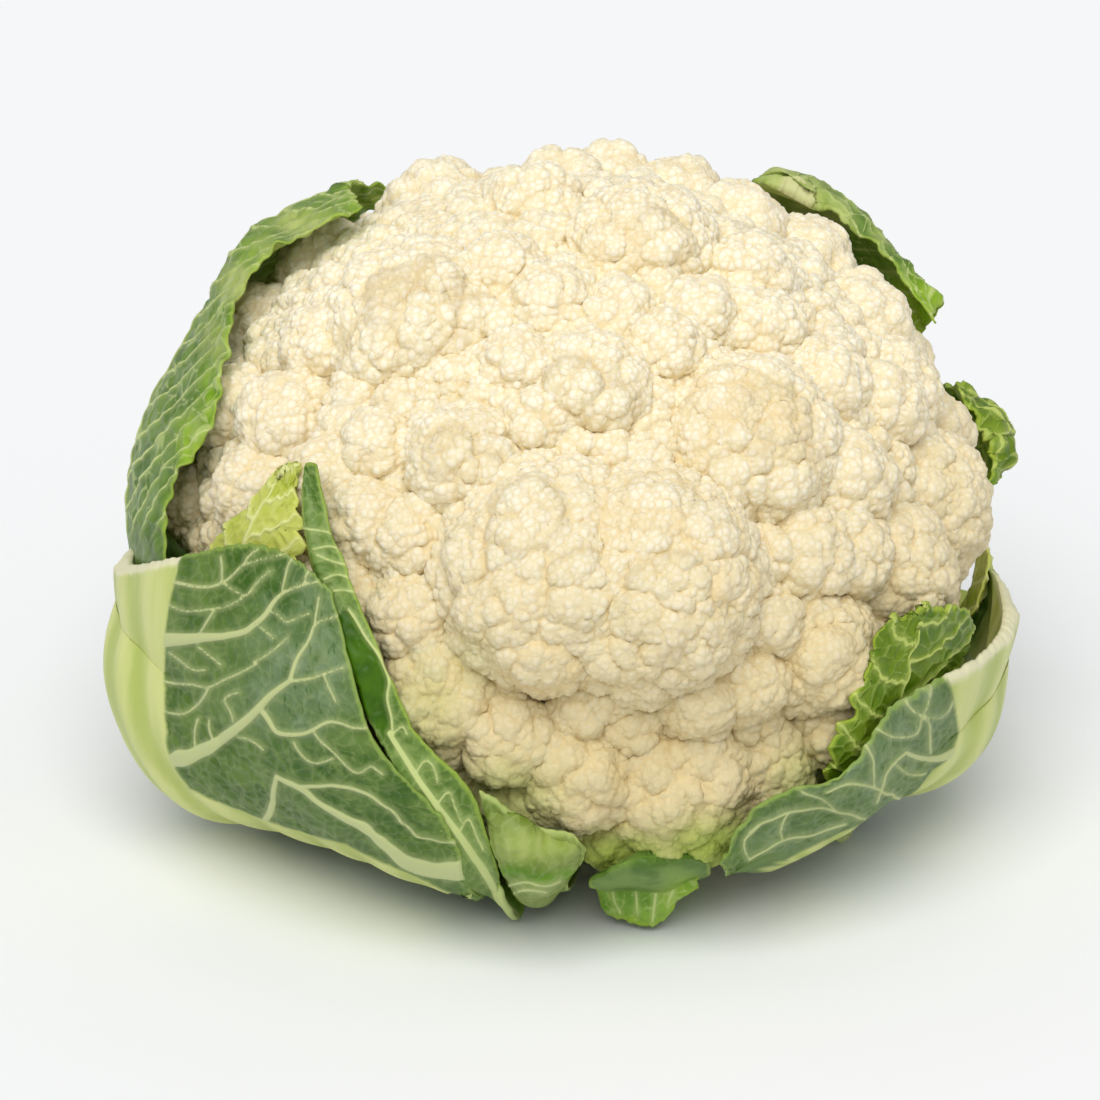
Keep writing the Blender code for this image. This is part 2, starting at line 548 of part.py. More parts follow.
        "rib": (1.5, 0.8, (6, 5, 4, 3)), "edge": (0.3, 0.6, 0.6, 2.0),
        "rows": (
            ((-84, 120, 5), (-91, 121, 6), (-98, 121, 6), (-105, 120, 5)),
            ((-80, 107, 5), (-90, 108, 7), (-99, 108, 7), (-106, 107, 5)),
            ((-82, 97, 6), (-90, 94, 8), (-99, 94, 8), (-105, 97, 6)),
        ),
    },
}


def ringPlace(point):
    """Turn about the axis, tilt from it, and height above the head's form, made a place."""
    turn, tilt, lift = math.radians(point[0]), math.radians(point[1]), point[2]
    flat = math.cos(turn) * sideways + math.sin(turn) * frontDown
    return onHead(math.cos(tilt) * axis + math.sin(tilt) * flat, -lift)


def leafObject(name):
    leaf = leaves[name]
    rows, columns = leaf["size"]
    grid, thick, s, t = leafGrid(leaf, rows, columns)
    grid = wavy(leaf, grid, s, t)
    grid = cleared(grid, leaf["clear"], leaf.get("outwards", False))
    grid[..., 2] = np.maximum(grid[..., 2], thick + 0.05)
    count = rows * columns
    faces = []
    for i in range(rows - 1):
        for j in range(columns - 1):
            a = i * columns + j
            b, c, d = a + 1, a + columns + 1, a + columns
            faces += [(a, b, c), (a, c, d)] if (i + j) % 2 else [(a, b, d), (b, c, d)]
    points = grid.reshape(count, 3)
    corners = points[np.array(faces)]
    normals = np.cross(corners[:, 1] - corners[:, 0], corners[:, 2] - corners[:, 0])
    if (normals * (corners.mean(axis=1) - head)).sum() < 0:
        faces = [face[::-1] for face in faces]
    mesh = bpy.data.meshes.new(name)
    mesh.from_pydata((points / 1000).tolist(), [], faces)
    obj = added(name, mesh, (0.28, 0.42, 0.17), 0.5)
    deepest = float(thick.max())
    group = obj.vertex_groups.new(name="thick")
    for k, weight in enumerate((thick / deepest).ravel()):
        group.add([k], float(weight), "REPLACE")
    shell = obj.modifiers.new("shell", "SOLIDIFY")
    shell.thickness = deepest / 1000
    shell.offset = 1
    shell.vertex_group = "thick"
    return settled(obj)


def stub():
    """The rounded end of a leaf stalk cut off short, lying along the surface."""
    path = bpy.data.curves.new("stub_right", "CURVE")
    path.dimensions = "3D"
    line = path.splines.new("BEZIER")
    line.bezier_points.add(2)
    spots = (((0.0165, -0.0125, 0.0074), 4.2), ((0.040, -0.036, 0.0046), 3.6),
             ((0.0605, -0.0566, 0.0042), 3.0))
    for knot, (place, radius) in zip(line.bezier_points, spots):
        knot.co = place
        knot.radius = radius
        knot.handle_left_type = knot.handle_right_type = "AUTO"
    path.bevel_depth = 0.001
    path.bevel_resolution = 3
    path.resolution_u = 6
    path.use_fill_caps = True
    loose = bpy.data.objects.new("stub path", path)
    cutters.objects.link(loose)
    mesh = bpy.data.meshes.new_from_object(loose.evaluated_get(bpy.context.evaluated_depsgraph_get()))
    bpy.data.objects.remove(loose, do_unlink=True)
    made = bmesh.new()
    made.from_mesh(mesh)
    bmesh.ops.remove_doubles(made, verts=made.verts, dist=0.00005)
    bmesh.ops.recalc_face_normals(made, faces=made.faces)
    made.to_mesh(mesh)
    made.free()
    mesh.materials.clear()
    return added("stub_right", mesh, (0.62, 0.68, 0.36), 0.5)


def trimmed(obj, others):
    """Cuts away what would lie inside the others, with the gap that neighbours keep."""
    grown = []
    for other in others:
        copy = bpy.data.objects.new("grown " + other.name, other.data.copy())
        cutters.objects.link(copy)
        swell = copy.modifiers.new("swell", "DISPLACE")
        swell.mid_level = 0
        swell.strength = gap / 1000
        grown.append(settled(copy))
    for copy in grown:
        cut = obj.modifiers.new("cut", "BOOLEAN")
        cut.operation = "DIFFERENCE"
        cut.solver = "MANIFOLD"
        cut.object = copy
        settled(obj)
    for copy in grown:
        bpy.data.objects.remove(copy, do_unlink=True)
    return obj


def close(first, second):
    """Whether two pieces share any room at all."""
    boxes = []
    for obj in (first, second):
        corners = np.array([vertex.co for vertex in obj.data.vertices])
        boxes.append((corners.min(axis=0) - 0.0004, corners.max(axis=0) + 0.0004))
    return bool((boxes[0][0] < boxes[1][1]).all() and (boxes[1][0] < boxes[0][1]).all())


def largest(obj):
    """Crumbs that a cut left loose are dropped."""
    made = bmesh.new()
    made.from_mesh(obj.data)
    islands = []
    left = set(made.verts)
    while left:
        island = set()
        ahead = [left.pop()]
        while ahead:
            vertex = ahead.pop()
            island.add(vertex)
            for edge in vertex.link_edges:
                other = edge.other_vert(vertex)
                if other in left:
                    left.remove(other)
                    ahead.append(other)
        islands.append(island)
    islands.sort(key=len)
    for island in islands[:-1]:
        bmesh.ops.delete(made, geom=list(island), context="VERTS")
    made.to_mesh(obj.data)
    made.free()
    return obj


def levelled(obj):
    """Nothing goes below the surface that it stands on."""
    for vertex in obj.data.vertices:
        vertex.co.z = max(vertex.co.z, 0.0)
    return obj


made = {"curd": curd(), "stem": stem()}
pieces = [(name, levelled(leafObject(name))) for name in leaves]
pieces.insert(5, ("stub_right", levelled(stub())))
for name, obj in pieces:
    near = [other for other in made.values() if close(obj, other)]
    made[name] = levelled(largest(trimmed(obj, near)))
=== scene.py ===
import math

import bpy
import mathutils
import mathutils.kdtree
import numpy as np
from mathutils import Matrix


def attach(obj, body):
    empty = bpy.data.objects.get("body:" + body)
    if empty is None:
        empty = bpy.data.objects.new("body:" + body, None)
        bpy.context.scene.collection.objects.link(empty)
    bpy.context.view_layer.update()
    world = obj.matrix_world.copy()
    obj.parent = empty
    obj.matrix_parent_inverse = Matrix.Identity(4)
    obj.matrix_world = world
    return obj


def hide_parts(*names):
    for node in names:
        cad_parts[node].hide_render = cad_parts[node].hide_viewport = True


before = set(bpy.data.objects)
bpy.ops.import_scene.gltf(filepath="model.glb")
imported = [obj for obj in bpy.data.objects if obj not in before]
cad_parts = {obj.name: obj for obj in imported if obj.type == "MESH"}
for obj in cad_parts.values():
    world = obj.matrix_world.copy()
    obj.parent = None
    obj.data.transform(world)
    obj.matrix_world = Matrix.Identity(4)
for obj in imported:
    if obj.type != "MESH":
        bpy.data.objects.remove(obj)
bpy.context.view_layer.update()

# The head's form and the photograph's view of it, millimetres and degrees
head = {"wide": 85.0, "top": 66.0, "low": 50.0, "high": 66.0, "stemSeat": 46.5}
seen = {"from": 22.0, "far": 800.0, "aim": (-5.2, -7.9), "lens": 126.3}

steep = math.radians(seen["from"])
right = np.array((1.0, 0.0, 0.0))
upward = np.array((0.0, math.sin(steep), math.cos(steep)))
nearer = np.array((0.0, -math.cos(steep), math.sin(steep)))
axis = 0.06 * right + 0.655 * upward + 0.753 * nearer
axis /= np.linalg.norm(axis)
middle = axis * head["high"] / axis[2]
sideways = right - axis * (right @ axis)
sideways /= np.linalg.norm(sideways)
frontDown = np.cross(sideways, axis)
eye = middle + seen["aim"][0] * right + seen["aim"][1] * upward + seen["far"] * nearer


def lengths(vectors):
    return np.linalg.norm(vectors, axis=-1)


def placeOf(point):
    across, up, near = point
    far = (seen["far"] - near) / seen["far"]
    across = (across - seen["aim"][0]) * far + seen["aim"][0]
    up = (up - seen["aim"][1]) * far + seen["aim"][1]
    return middle + across * right + up * upward + near * nearer


def lookOf(points):
    # across and up as the camera sees them, the reverse of placeOf
    offset = points - middle
    far = (seen["far"] - offset @ nearer) / seen["far"]
    across = (offset @ right - seen["aim"][0]) / far + seen["aim"][0]
    up = (offset @ upward - seen["aim"][1]) / far + seen["aim"][1]
    return np.stack((across, up), axis=-1)


def swollen(points, grow):
    along = (points - middle) @ axis
    flat = lengths(points - middle - along[..., None] * axis)
    tall = np.where(along > 0, head["top"] + grow, head["low"] + grow)
    return np.sqrt((flat / (head["wide"] + grow)) ** 2 + (along / tall) ** 2)


def formReach(directions, grow):
    along = directions @ axis
    flat = np.sqrt(np.clip(1 - along**2, 0, 1))
    tall = np.where(along > 0, head["top"], head["low"]) + grow
    return 1 / np.sqrt((flat / (head["wide"] + grow)) ** 2 + (along / tall) ** 2)


def onForm(direction, sink):
    return middle + direction * formReach(direction[None], -sink)[0]


def smooth(value, low, high):
    share = np.clip((value - low) / (high - low), 0, 1)
    return share * share * (3 - 2 * share)


def tint(red, green, blue):
    # a screen colour made linear
    screen = np.array((red, green, blue)) / 255
    linear = np.where(screen < 0.04045, screen / 12.92, ((screen + 0.055) / 1.055) ** 2.4)
    return (*linear.tolist(), 1.0)


# Florets as seen: across, up, radius, and how far one stands proud of the head's form
frontFlorets = (
    (-5, -13, 23, 7), (14, -15, 23, 8), (34, 12, 19, 3), (-31, 34, 20, 2), (3, 24, 12, 1), (-23, 10, 10, 2),
    (13, 51, 16, 2), (69, 1, 16, 1), (64, -12, 13, 1), (20, -54, 17, 2), (0, -52, 12, 0), (-28, -37, 14, 0),
    (48, -28, 13, 1), (-8, 18, 6, -1), (-12, 30, 7, 0), (-5, 42, 8, 0), (-53, 52, 10, 0), (-63, 36, 11, 0),
    (-51, 33, 9, -1), (-68, 20, 9, 0), (-58, 18, 10, 0), (-75, 2, 10, 0), (-63, 3, 10, 0), (-50, 6, 9, 0),
    (-41, -3, 9, 0), (-33, -6, 9, -1), (-33, -21, 9, 0), (-46, -18, 10, 0), (-28, 60, 13, 0),
    (-8, 61, 10, 0),
    (8, 68, 8, 0), (22, 66, 10, 0), (33, 58, 10, 0), (25, 39, 7, 0), (38, 37, 8, 0), (35, 47, 9, 0),
    (9, 39, 7, -1), (18, 33, 8, 0), (47, 50, 11, 0), (57, 37, 12, 0), (50, 26, 9, 0), (62, 21, 9, 0),
    (54, 6, 10, 0), (46, -9, 10, 0), (55, -9, 9, 0), (-14, -46, 9, 0), (25, -38, 8, -1), (34, -35, 8, -1),
    (10, -64, 9, 0), (51, -43, 9, 0), (39, -22, 7, -1), (37, -51, 11, 0), (-12, -59, 8, -1),
    (28, -64, 8, 0), (-44, -34, 9, 0), (39, -9, 6, -2), (-40, 12, 8, -1), (-14, 48, 8, 0),
)
# Lobes on the larger florets: which floret, across, up and radius
lobes = (
    (0, -10, -1, 10), (0, -20, -20, 9), (0, -7, -32, 9), (0, 2, -16, 10), (0, -22, -9, 8), (0, -14, -27, 8),
    (1, 18, 2, 10), (1, 28, -4, 9), (1, 20, -19, 12), (1, 27, -27, 10), (1, 8, -31, 9), (1, 33, -14, 8),
    (2, 23, 15, 8), (2, 32, 24, 9), (2, 43, 20, 9), (2, 44, 8, 9), (2, 34, 6, 9), (2, 26, 3, 7),
    (3, -36, 21, 8), (3, -22, 26, 8), (3, -42, 33, 9), (3, -31, 40, 9), (3, -20, 39, 8), (3, -39, 46, 7),
    (3, -28, 49, 7), (4, 0, 26, 7), (4, 7, 21, 7), (5, -26, 13, 6), (5, -20, 7, 6), (6, 7, 54, 8),
    (6, 18, 56, 8), (6, 12, 43, 8), (7, 63, 6, 8), (7, 73, 6, 8), (7, 66, -6, 8), (8, 61, -18, 7),
    (9, 13, -50, 9), (9, 26, -48, 9), (9, 20, -60, 9), (9, 12, -60, 7), (9, 30, -57, 8), (10, -4, -50, 7),
    (10, 3, -55, 7), (11, -31, -31, 8), (11, -22, -40, 8), (11, -34, -42, 7), (12, 43, -24, 8),
    (12, 52, -31, 8),
)
# The curd, millimetres: how far apart its points lie in front, behind and out of sight, how deep its florets
# sit, the sizes and heights of lobes, buds and grains, and the bulge in front
curdLook = {
    "seed": 11,
    "spacing": 0.49, "rearSpacing": 0.76, "hiddenSpacing": 1.0,
    "sinkShare": 0.92, "seenSink": 0.8, "lobeSink": 0.84, "baseSink": 0.2,
    "capSink": -1.0, "capKept": 0.45,
    "buried": 1.7,
    "lobeSize": 12.0, "lobeHeight": 1.5,
    "budSize": 4.8, "budHeight": 1.0,
    "grainSize": 1.6, "grainHeight": 0.45,
    "domeReach": 0.42, "cellShake": 0.85,
    "bulgeAim": (5, -14), "bulgeRise": 8.5, "bulgeWide": 0.43,
    "patches": 21,
}
# Florets in between the measured ones, then small ones in the pits that are left: how many places are tried,
# how low on the head they reach, their sizes and how deep they sit
spareFlorets = {
    "tried": 150, "lowest": -0.42, "shake": 0.07, "sizes": (10, 15),
    "shrink": 0.3, "sink": 2.0, "apart": 0.66,
}
pitFlorets = {"tried": 1400, "lowest": -0.36, "sizes": (5.0, 7.5), "sink": 5.0, "pit": 8.5}
# Greener places among the low leaves as seen: across, up, half the width, half the height, strength
curdGreen = (
    (-31, -42, 8, 12, 0.3), (-15, -60, 12, 9, 0.55), (8, -71, 16, 6, 0.95), (30, -69, 15, 7, 0.95),
    (47, -57, 7, 9, 0.45), (-22, -31, 6, 7, 0.2),
)


def lattice(count):
    step = np.arange(count) + 0.5
    high = 1 - 2 * step / count
    turn = step * math.pi * (3 - math.sqrt(5))
    flat = np.sqrt(1 - high**2)
    return np.stack((flat * np.cos(turn), flat * np.sin(turn), high), axis=1)


def onFormAsSeen(across, up, sink):
    best = None
    for near in np.linspace(95, -30, 126):
        point = placeOf((across, up, near))
        size = float(swollen(point, -sink))
        if best is None or size < best[0]:
            best = (size, point)
        if size <= 1:
            break
    offset = best[1] - middle
    return onForm(offset / np.linalg.norm(offset), sink)


def onFloretAsSeen(parent, across, up, size):
    place, wide = parent
    best = None
    for near in np.linspace(100, -20, 241):
        point = placeOf((across, up, near))
        away = np.linalg.norm(point - place)
        if best is None or away < best[0]:
            best = (away, point)
        if away <= wide:
            break
    outward = (best[1] - place) / best[0]
    return place + outward * (wide - curdLook["lobeSink"] * size)


def allFlorets():
    sinkShare, seenSink = curdLook["sinkShare"], curdLook["seenSink"]
    mains = [(onFormAsSeen(a, u, sinkShare * r + seenSink - proud), float(r))
             for a, u, r, proud in frontFlorets]
    found = mains + [(onFloretAsSeen(mains[k], a, u, r), float(r)) for k, a, u, r in lobes]
    spread = np.random.default_rng(curdLook["seed"])
    for direction in lattice(spareFlorets["tried"]):
        direction = direction + spread.normal(0, spareFlorets["shake"], 3)
        direction /= np.linalg.norm(direction)
        size = spread.uniform(*spareFlorets["sizes"])
        lean = direction @ axis
        if lean < spareFlorets["lowest"]:
            continue
        size *= 1 - spareFlorets["shrink"] * max(0.0, lean)
        place = onForm(direction, sinkShare * size + spareFlorets["sink"])
        if all(np.linalg.norm(place - other) > spareFlorets["apart"] * (size + r) for other, r in found):
            found.append((place, size))
    # small florets close the pits that are left between the others
    for direction in lattice(pitFlorets["tried"]):
        if direction @ axis < pitFlorets["lowest"]:
            continue
        offsets = np.array([place for place, _ in found]) - middle
        sizes = np.array([size for _, size in found])
        along = offsets @ direction
        reach = sizes**2 - (offsets**2).sum(axis=1) + along**2
        skin = np.where(reach > 0, along + np.sqrt(np.maximum(reach, 0)), 0).max()
        if formReach(direction[None], 0.0)[0] - skin > pitFlorets["pit"]:
            size = spread.uniform(*pitFlorets["sizes"])
            found.append((onForm(direction, size + pitFlorets["sink"]), size))
    return found


florets = allFlorets()
centres = np.array([place for place, _ in florets])
radii = np.array([size for _, size in florets]) - curdLook["baseSink"]
print("florets placed:", len(florets))


def meshOf(name, points, faces, corners):
    # faces holds corner indices one after another, corners how many each face has
    mesh = bpy.data.meshes.new(name)
    mesh.vertices.add(len(points))
    mesh.vertices.foreach_set("co", np.ascontiguousarray(points / 1000, np.float32).ravel())
    mesh.loops.add(len(faces))
    mesh.loops.foreach_set("vertex_index", np.ascontiguousarray(faces, np.int32))
    mesh.polygons.add(len(corners))
    starts = np.concatenate(([0], np.cumsum(corners)[:-1])).astype(np.int32)
    mesh.polygons.foreach_set("loop_start", starts)
    mesh.polygons.foreach_set("use_smooth", np.ones(len(corners), bool))
    mesh.update(calc_edges=True)
    return mesh


def giveNumbers(mesh, name, values):
    layer = mesh.attributes.new(name, "FLOAT", "POINT")
    layer.data.foreach_set("value", np.ascontiguousarray(values, np.float32).ravel())


def giveUv(mesh, pairs):
    layer = mesh.uv_layers.new(name="OFBake")
    layer.data.foreach_set("uv", np.ascontiguousarray(pairs, np.float32).ravel())


def ballNet(count):
    # a ball of squares: six curved faces, each count by count, with their edges joined
    line = np.tan(np.linspace(-1, 1, count + 1) * math.pi / 4)
    first, second = np.meshgrid(line, line, indexing="ij")
    flat = np.ones_like(first)
    sides = [np.stack(side, axis=-1) for side in (
        (flat, first, second), (-flat, second, first), (second, flat, first),
        (first, -flat, second), (first, second, flat), (second, first, -flat))]
    points = np.concatenate([side.reshape(-1, 3) for side in sides])
    points /= lengths(points)[:, None]
    row = np.arange(count)[:, None] * (count + 1) + np.arange(count)[None, :]
    square = np.stack((row, row + count + 1, row + count + 2, row + 1), axis=-1).reshape(-1, 4)
    squares = np.concatenate([square + k * (count + 1) ** 2 for k in range(6)])
    _, keep, index = np.unique(np.round(points * 1e5).astype(np.int64), axis=0,
                               return_index=True, return_inverse=True)
    return points[keep], index.reshape(-1)[squares]


def capLimit(directions):
    # how far out florets may reach: the head's form, and the bulge of its great front floret
    limit = formReach(directions, -curdLook["capSink"])
    aim = onFormAsSeen(*curdLook["bulgeAim"], 0) - middle
    away = np.arccos(np.clip(directions @ aim / np.linalg.norm(aim), -1, 1))
    return limit + curdLook["bulgeRise"] * np.exp(-((away / curdLook["bulgeWide"]) ** 6))


def floretShell(k):
    # one floret's outer skin, without what lies inside its neighbours, closed by a fan to its centre
    place, size = centres[k], radii[k]
    outward = (place - middle) / np.linalg.norm(place - middle)
    spacing = curdLook["spacing"] if outward @ nearer > 0.1 else curdLook["rearSpacing"]
    if outward @ axis < -0.12:
        spacing = curdLook["hiddenSpacing"]
    points, squares = ballNet(max(10, round(0.5 * math.pi * size / spacing)))
    directions = points.copy()
    points = place + points * size
    offset = points - middle
    far = lengths(offset)
    limit = capLimit(offset / far[:, None])
    far = np.where(far > limit, limit + curdLook["capKept"] * (far - limit), far)
    points = middle + offset / lengths(offset)[:, None] * far[:, None]
    near = [j for j in range(len(centres)) if j != k
            and np.linalg.norm(centres[j] - place) < size + radii[j]]
    inside = np.full(len(points), -50.0)
    for j in near:
        inside = np.maximum(inside, radii[j] - lengths(points - centres[j]))
    # what lies deep in a neighbour or in the head isn't seen
    shallow = swollen(points, -16)[squares].max(axis=1) > 1
    squares = squares[(inside[squares].min(axis=1) < curdLook["buried"]) & shallow]
    if len(squares) < 12:
        return None
    used, index = np.unique(squares, return_inverse=True)
    squares = index.reshape(-1, 4)
    points, directions, inside = points[used], directions[used], inside[used]
    ends = np.concatenate([squares[:, [i, (i + 1) % 4]] for i in range(4)])
    code = ends[:, 0] * len(points) + ends[:, 1]
    back = ends[:, 1] * len(points) + ends[:, 0]
    loose = ends[~np.isin(code, back)]
    fan = np.stack((loose[:, 1], loose[:, 0], np.full(len(loose), len(points))), axis=1)
    points = np.concatenate((points, place[None]))
    # gully marks where florets meet, for painted shade in those crevices
    gully = np.concatenate((smooth(inside, -2.0, 0.5), [1.0]))
    tall = np.cross(outward, axis)
    tall /= np.linalg.norm(tall)
    wide = np.cross(tall, outward)
    angle = np.arccos(np.clip(directions @ outward, -1, 1))
    flat = np.stack((directions @ tall, directions @ wide), axis=1)
    flat = flat / np.maximum(lengths(flat), 1e-6)[:, None] * (angle / math.pi)[:, None]
    flat = np.concatenate((flat, [[0.0, 0.0]]))
    return {"points": points, "squares": squares, "fan": fan, "gully": gully, "uv": flat, "size": size}


def socketOf(tree, name, kind, value, direction="INPUT"):
    socket = tree.interface.new_socket(name=name, in_out=direction, socket_type=kind)
    if value is not None:
        socket.default_value = value
    return socket


def join(tree, node, socket, value):
    # value is another node's output or a plain number
    if hasattr(value, "node"):
        tree.links.new(value, node.inputs[socket])
    else:
        node.inputs[socket].default_value = value


def mathOf(tree, operation, *values):
    node = tree.nodes.new("ShaderNodeMath")
    node.operation = operation
    for k, value in enumerate(values):
        join(tree, node, k, value)
    return node.outputs[0]


def beadLevel(tree, geometry, size, height, seed, label):
    # rounded beads, one to each cell of the space about the surface, with a sharp valley between them
    position = tree.nodes.new("GeometryNodeInputPosition")
    shift = tree.nodes.new("ShaderNodeVectorMath")
    shift.operation = "ADD"
    tree.links.new(position.outputs[0], shift.inputs[0])
    join(tree, shift, 1, mathOf(tree, "MULTIPLY", seed, 0.37))
    cells = tree.nodes.new("ShaderNodeTexVoronoi")
    cells.feature = "DISTANCE_TO_EDGE"
    cells.inputs["Randomness"].default_value = curdLook["cellShake"]
    tree.links.new(shift.outputs[0], cells.inputs["Vector"])
    join(tree, cells, "Scale", mathOf(tree, "DIVIDE", 1.0, size))
    share = mathOf(tree, "DIVIDE", cells.outputs["Distance"], curdLook["domeReach"])
    share = mathOf(tree, "SUBTRACT", 1.0, mathOf(tree, "MINIMUM", share, 1.0))
    left = mathOf(tree, "SUBTRACT", 1.0, mathOf(tree, "MULTIPLY", share, share))
    dome = mathOf(tree, "MAXIMUM", left, 0.0)
    rise = mathOf(tree, "MULTIPLY", dome, height)
    normal = tree.nodes.new("GeometryNodeInputNormal")
    push = tree.nodes.new("ShaderNodeVectorMath")
    push.operation = "SCALE"
    tree.links.new(normal.outputs[0], push.inputs[0])
    tree.links.new(rise, push.inputs["Scale"])
    store = tree.nodes.new("GeometryNodeStoreNamedAttribute")
    store.data_type = "FLOAT"
    store.domain = "POINT"
    store.inputs["Name"].default_value = label
    tree.links.new(geometry, store.inputs["Geometry"])
    tree.links.new(dome, store.inputs["Value"])
    keep = tree.nodes.new("GeometryNodeStoreNamedAttribute")
    keep.data_type = "FLOAT_VECTOR"
    keep.domain = "POINT"
    keep.inputs["Name"].default_value = label + "Place"
    tree.links.new(store.outputs[0], keep.inputs["Geometry"])
    tree.links.new(shift.outputs[0], keep.inputs["Value"])
    moved = tree.nodes.new("GeometryNodeSetPosition")
    tree.links.new(keep.outputs[0], moved.inputs["Geometry"])
    tree.links.new(push.outputs["Vector"], moved.inputs["Offset"])
    return moved.outputs[0]


beadInputs = ("lobeSize", "lobeHeight", "budSize", "budHeight", "grainSize", "grainHeight")


def beadTree(material):
    tree = bpy.data.node_groups.new("beaded curd", "GeometryNodeTree")
    socketOf(tree, "Geometry", "NodeSocketGeometry", None)
    for name in beadInputs:
        socketOf(tree, name, "NodeSocketFloat", curdLook[name] / 1000)
    socketOf(tree, "seed", "NodeSocketInt", curdLook["seed"])
    socketOf(tree, "Geometry", "NodeSocketGeometry", None, "OUTPUT")
    given = tree.nodes.new("NodeGroupInput").outputs
    geometry = given["Geometry"]
    for k, level in enumerate(("lobe", "bud", "grain")):
        seed = mathOf(tree, "ADD", given["seed"], float(k))
        geometry = beadLevel(tree, geometry, given[level + "Size"], given[level + "Height"], seed, level)
    real = tree.nodes.new("GeometryNodeRealizeInstances")
    tree.links.new(geometry, real.inputs[0])
    paint = tree.nodes.new("GeometryNodeSetMaterial")
    paint.inputs["Material"].default_value = material
    tree.links.new(real.outputs[0], paint.inputs["Geometry"])
    out = tree.nodes.new("NodeGroupOutput")
    tree.links.new(paint.outputs[0], out.inputs[0])
    return tree


def addPiece(name, mesh, node, material=None):
    if material:
        mesh.materials.clear()
        mesh.materials.append(material)
    piece = bpy.data.objects.new(name, mesh)
    bpy.context.scene.collection.objects.link(piece)
    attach(piece, "root")
    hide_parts(node)
    return piece


def runTree(mesh, tree, settings):
    # the tree's result as a plain mesh
    loose = bpy.data.objects.new("loose", mesh)
    bpy.context.scene.collection.objects.link(loose)
    modifier = loose.modifiers.new("nodes", "NODES")
    modifier.node_group = tree
    for item in tree.interface.items_tree:
        if item.item_type == "SOCKET" and item.in_out == "INPUT" and item.name in settings:
            modifier[item.identifier] = settings[item.name]
    graph = bpy.context.evaluated_depsgraph_get()
    made = bpy.data.meshes.new_from_object(loose.evaluated_get(graph))
    bpy.data.objects.remove(loose, do_unlink=True)
    return made


def shader(name):
    material = bpy.data.materials.new(name)
    material.use_nodes = True
    tree = material.node_tree
    return material, tree, tree.nodes["Principled BSDF"]


def attributeOf(tree, name):
    node = tree.nodes.new("ShaderNodeAttribute")
    node.attribute_name = name
    return node.outputs["Fac"]


def placeAttribute(tree, name):
    node = tree.nodes.new("ShaderNodeAttribute")
    node.attribute_name = name
    return node.outputs["Vector"]


def mixed(tree, share, first, second):
    node = tree.nodes.new("ShaderNodeMix")
    node.data_type = "RGBA"
    join(tree, node, 0, share)
    join(tree, node, 6, first)
    join(tree, node, 7, second)
    return node.outputs[2]


def rangeOf(tree, value, low, high, start=0.0, end=1.0):
    node = tree.nodes.new("ShaderNodeMapRange")
    node.interpolation_type = "SMOOTHSTEP"
    for k, part in enumerate((value, low, high, start, end)):
        join(tree, node, k, part)
    return node.outputs[0]


def noiseOf(tree, size, detail=3.0, rough=0.5):
    # size is in millimetres
    place = tree.nodes.new("ShaderNodeTexCoord")
    node = tree.nodes.new("ShaderNodeTexNoise")
    node.inputs["Scale"].default_value = 1000 / size
    node.inputs["Detail"].default_value = detail
    node.inputs["Roughness"].default_value = rough
    tree.links.new(place.outputs["Object"], node.inputs["Vector"])
    return node.outputs["Fac"]


# Screen colours of the curd: tops and flanks of its grains, its valleys, tan and green places, and its foot;
# the darker flanks, valleys and foot are painted shade
curdTints = {
    "top": (251, 243, 222), "flank": (248, 239, 208), "deep": (228, 202, 144),
    "tan": (226, 206, 168), "green": (158, 176, 70), "low": (209, 193, 147),
}
# How strongly each kind of valley on the curd is tinted with painted shade
valleyShade = {"grain": 0.3, "bud": 0.38, "lobe": 0.25, "gully": 0.5}


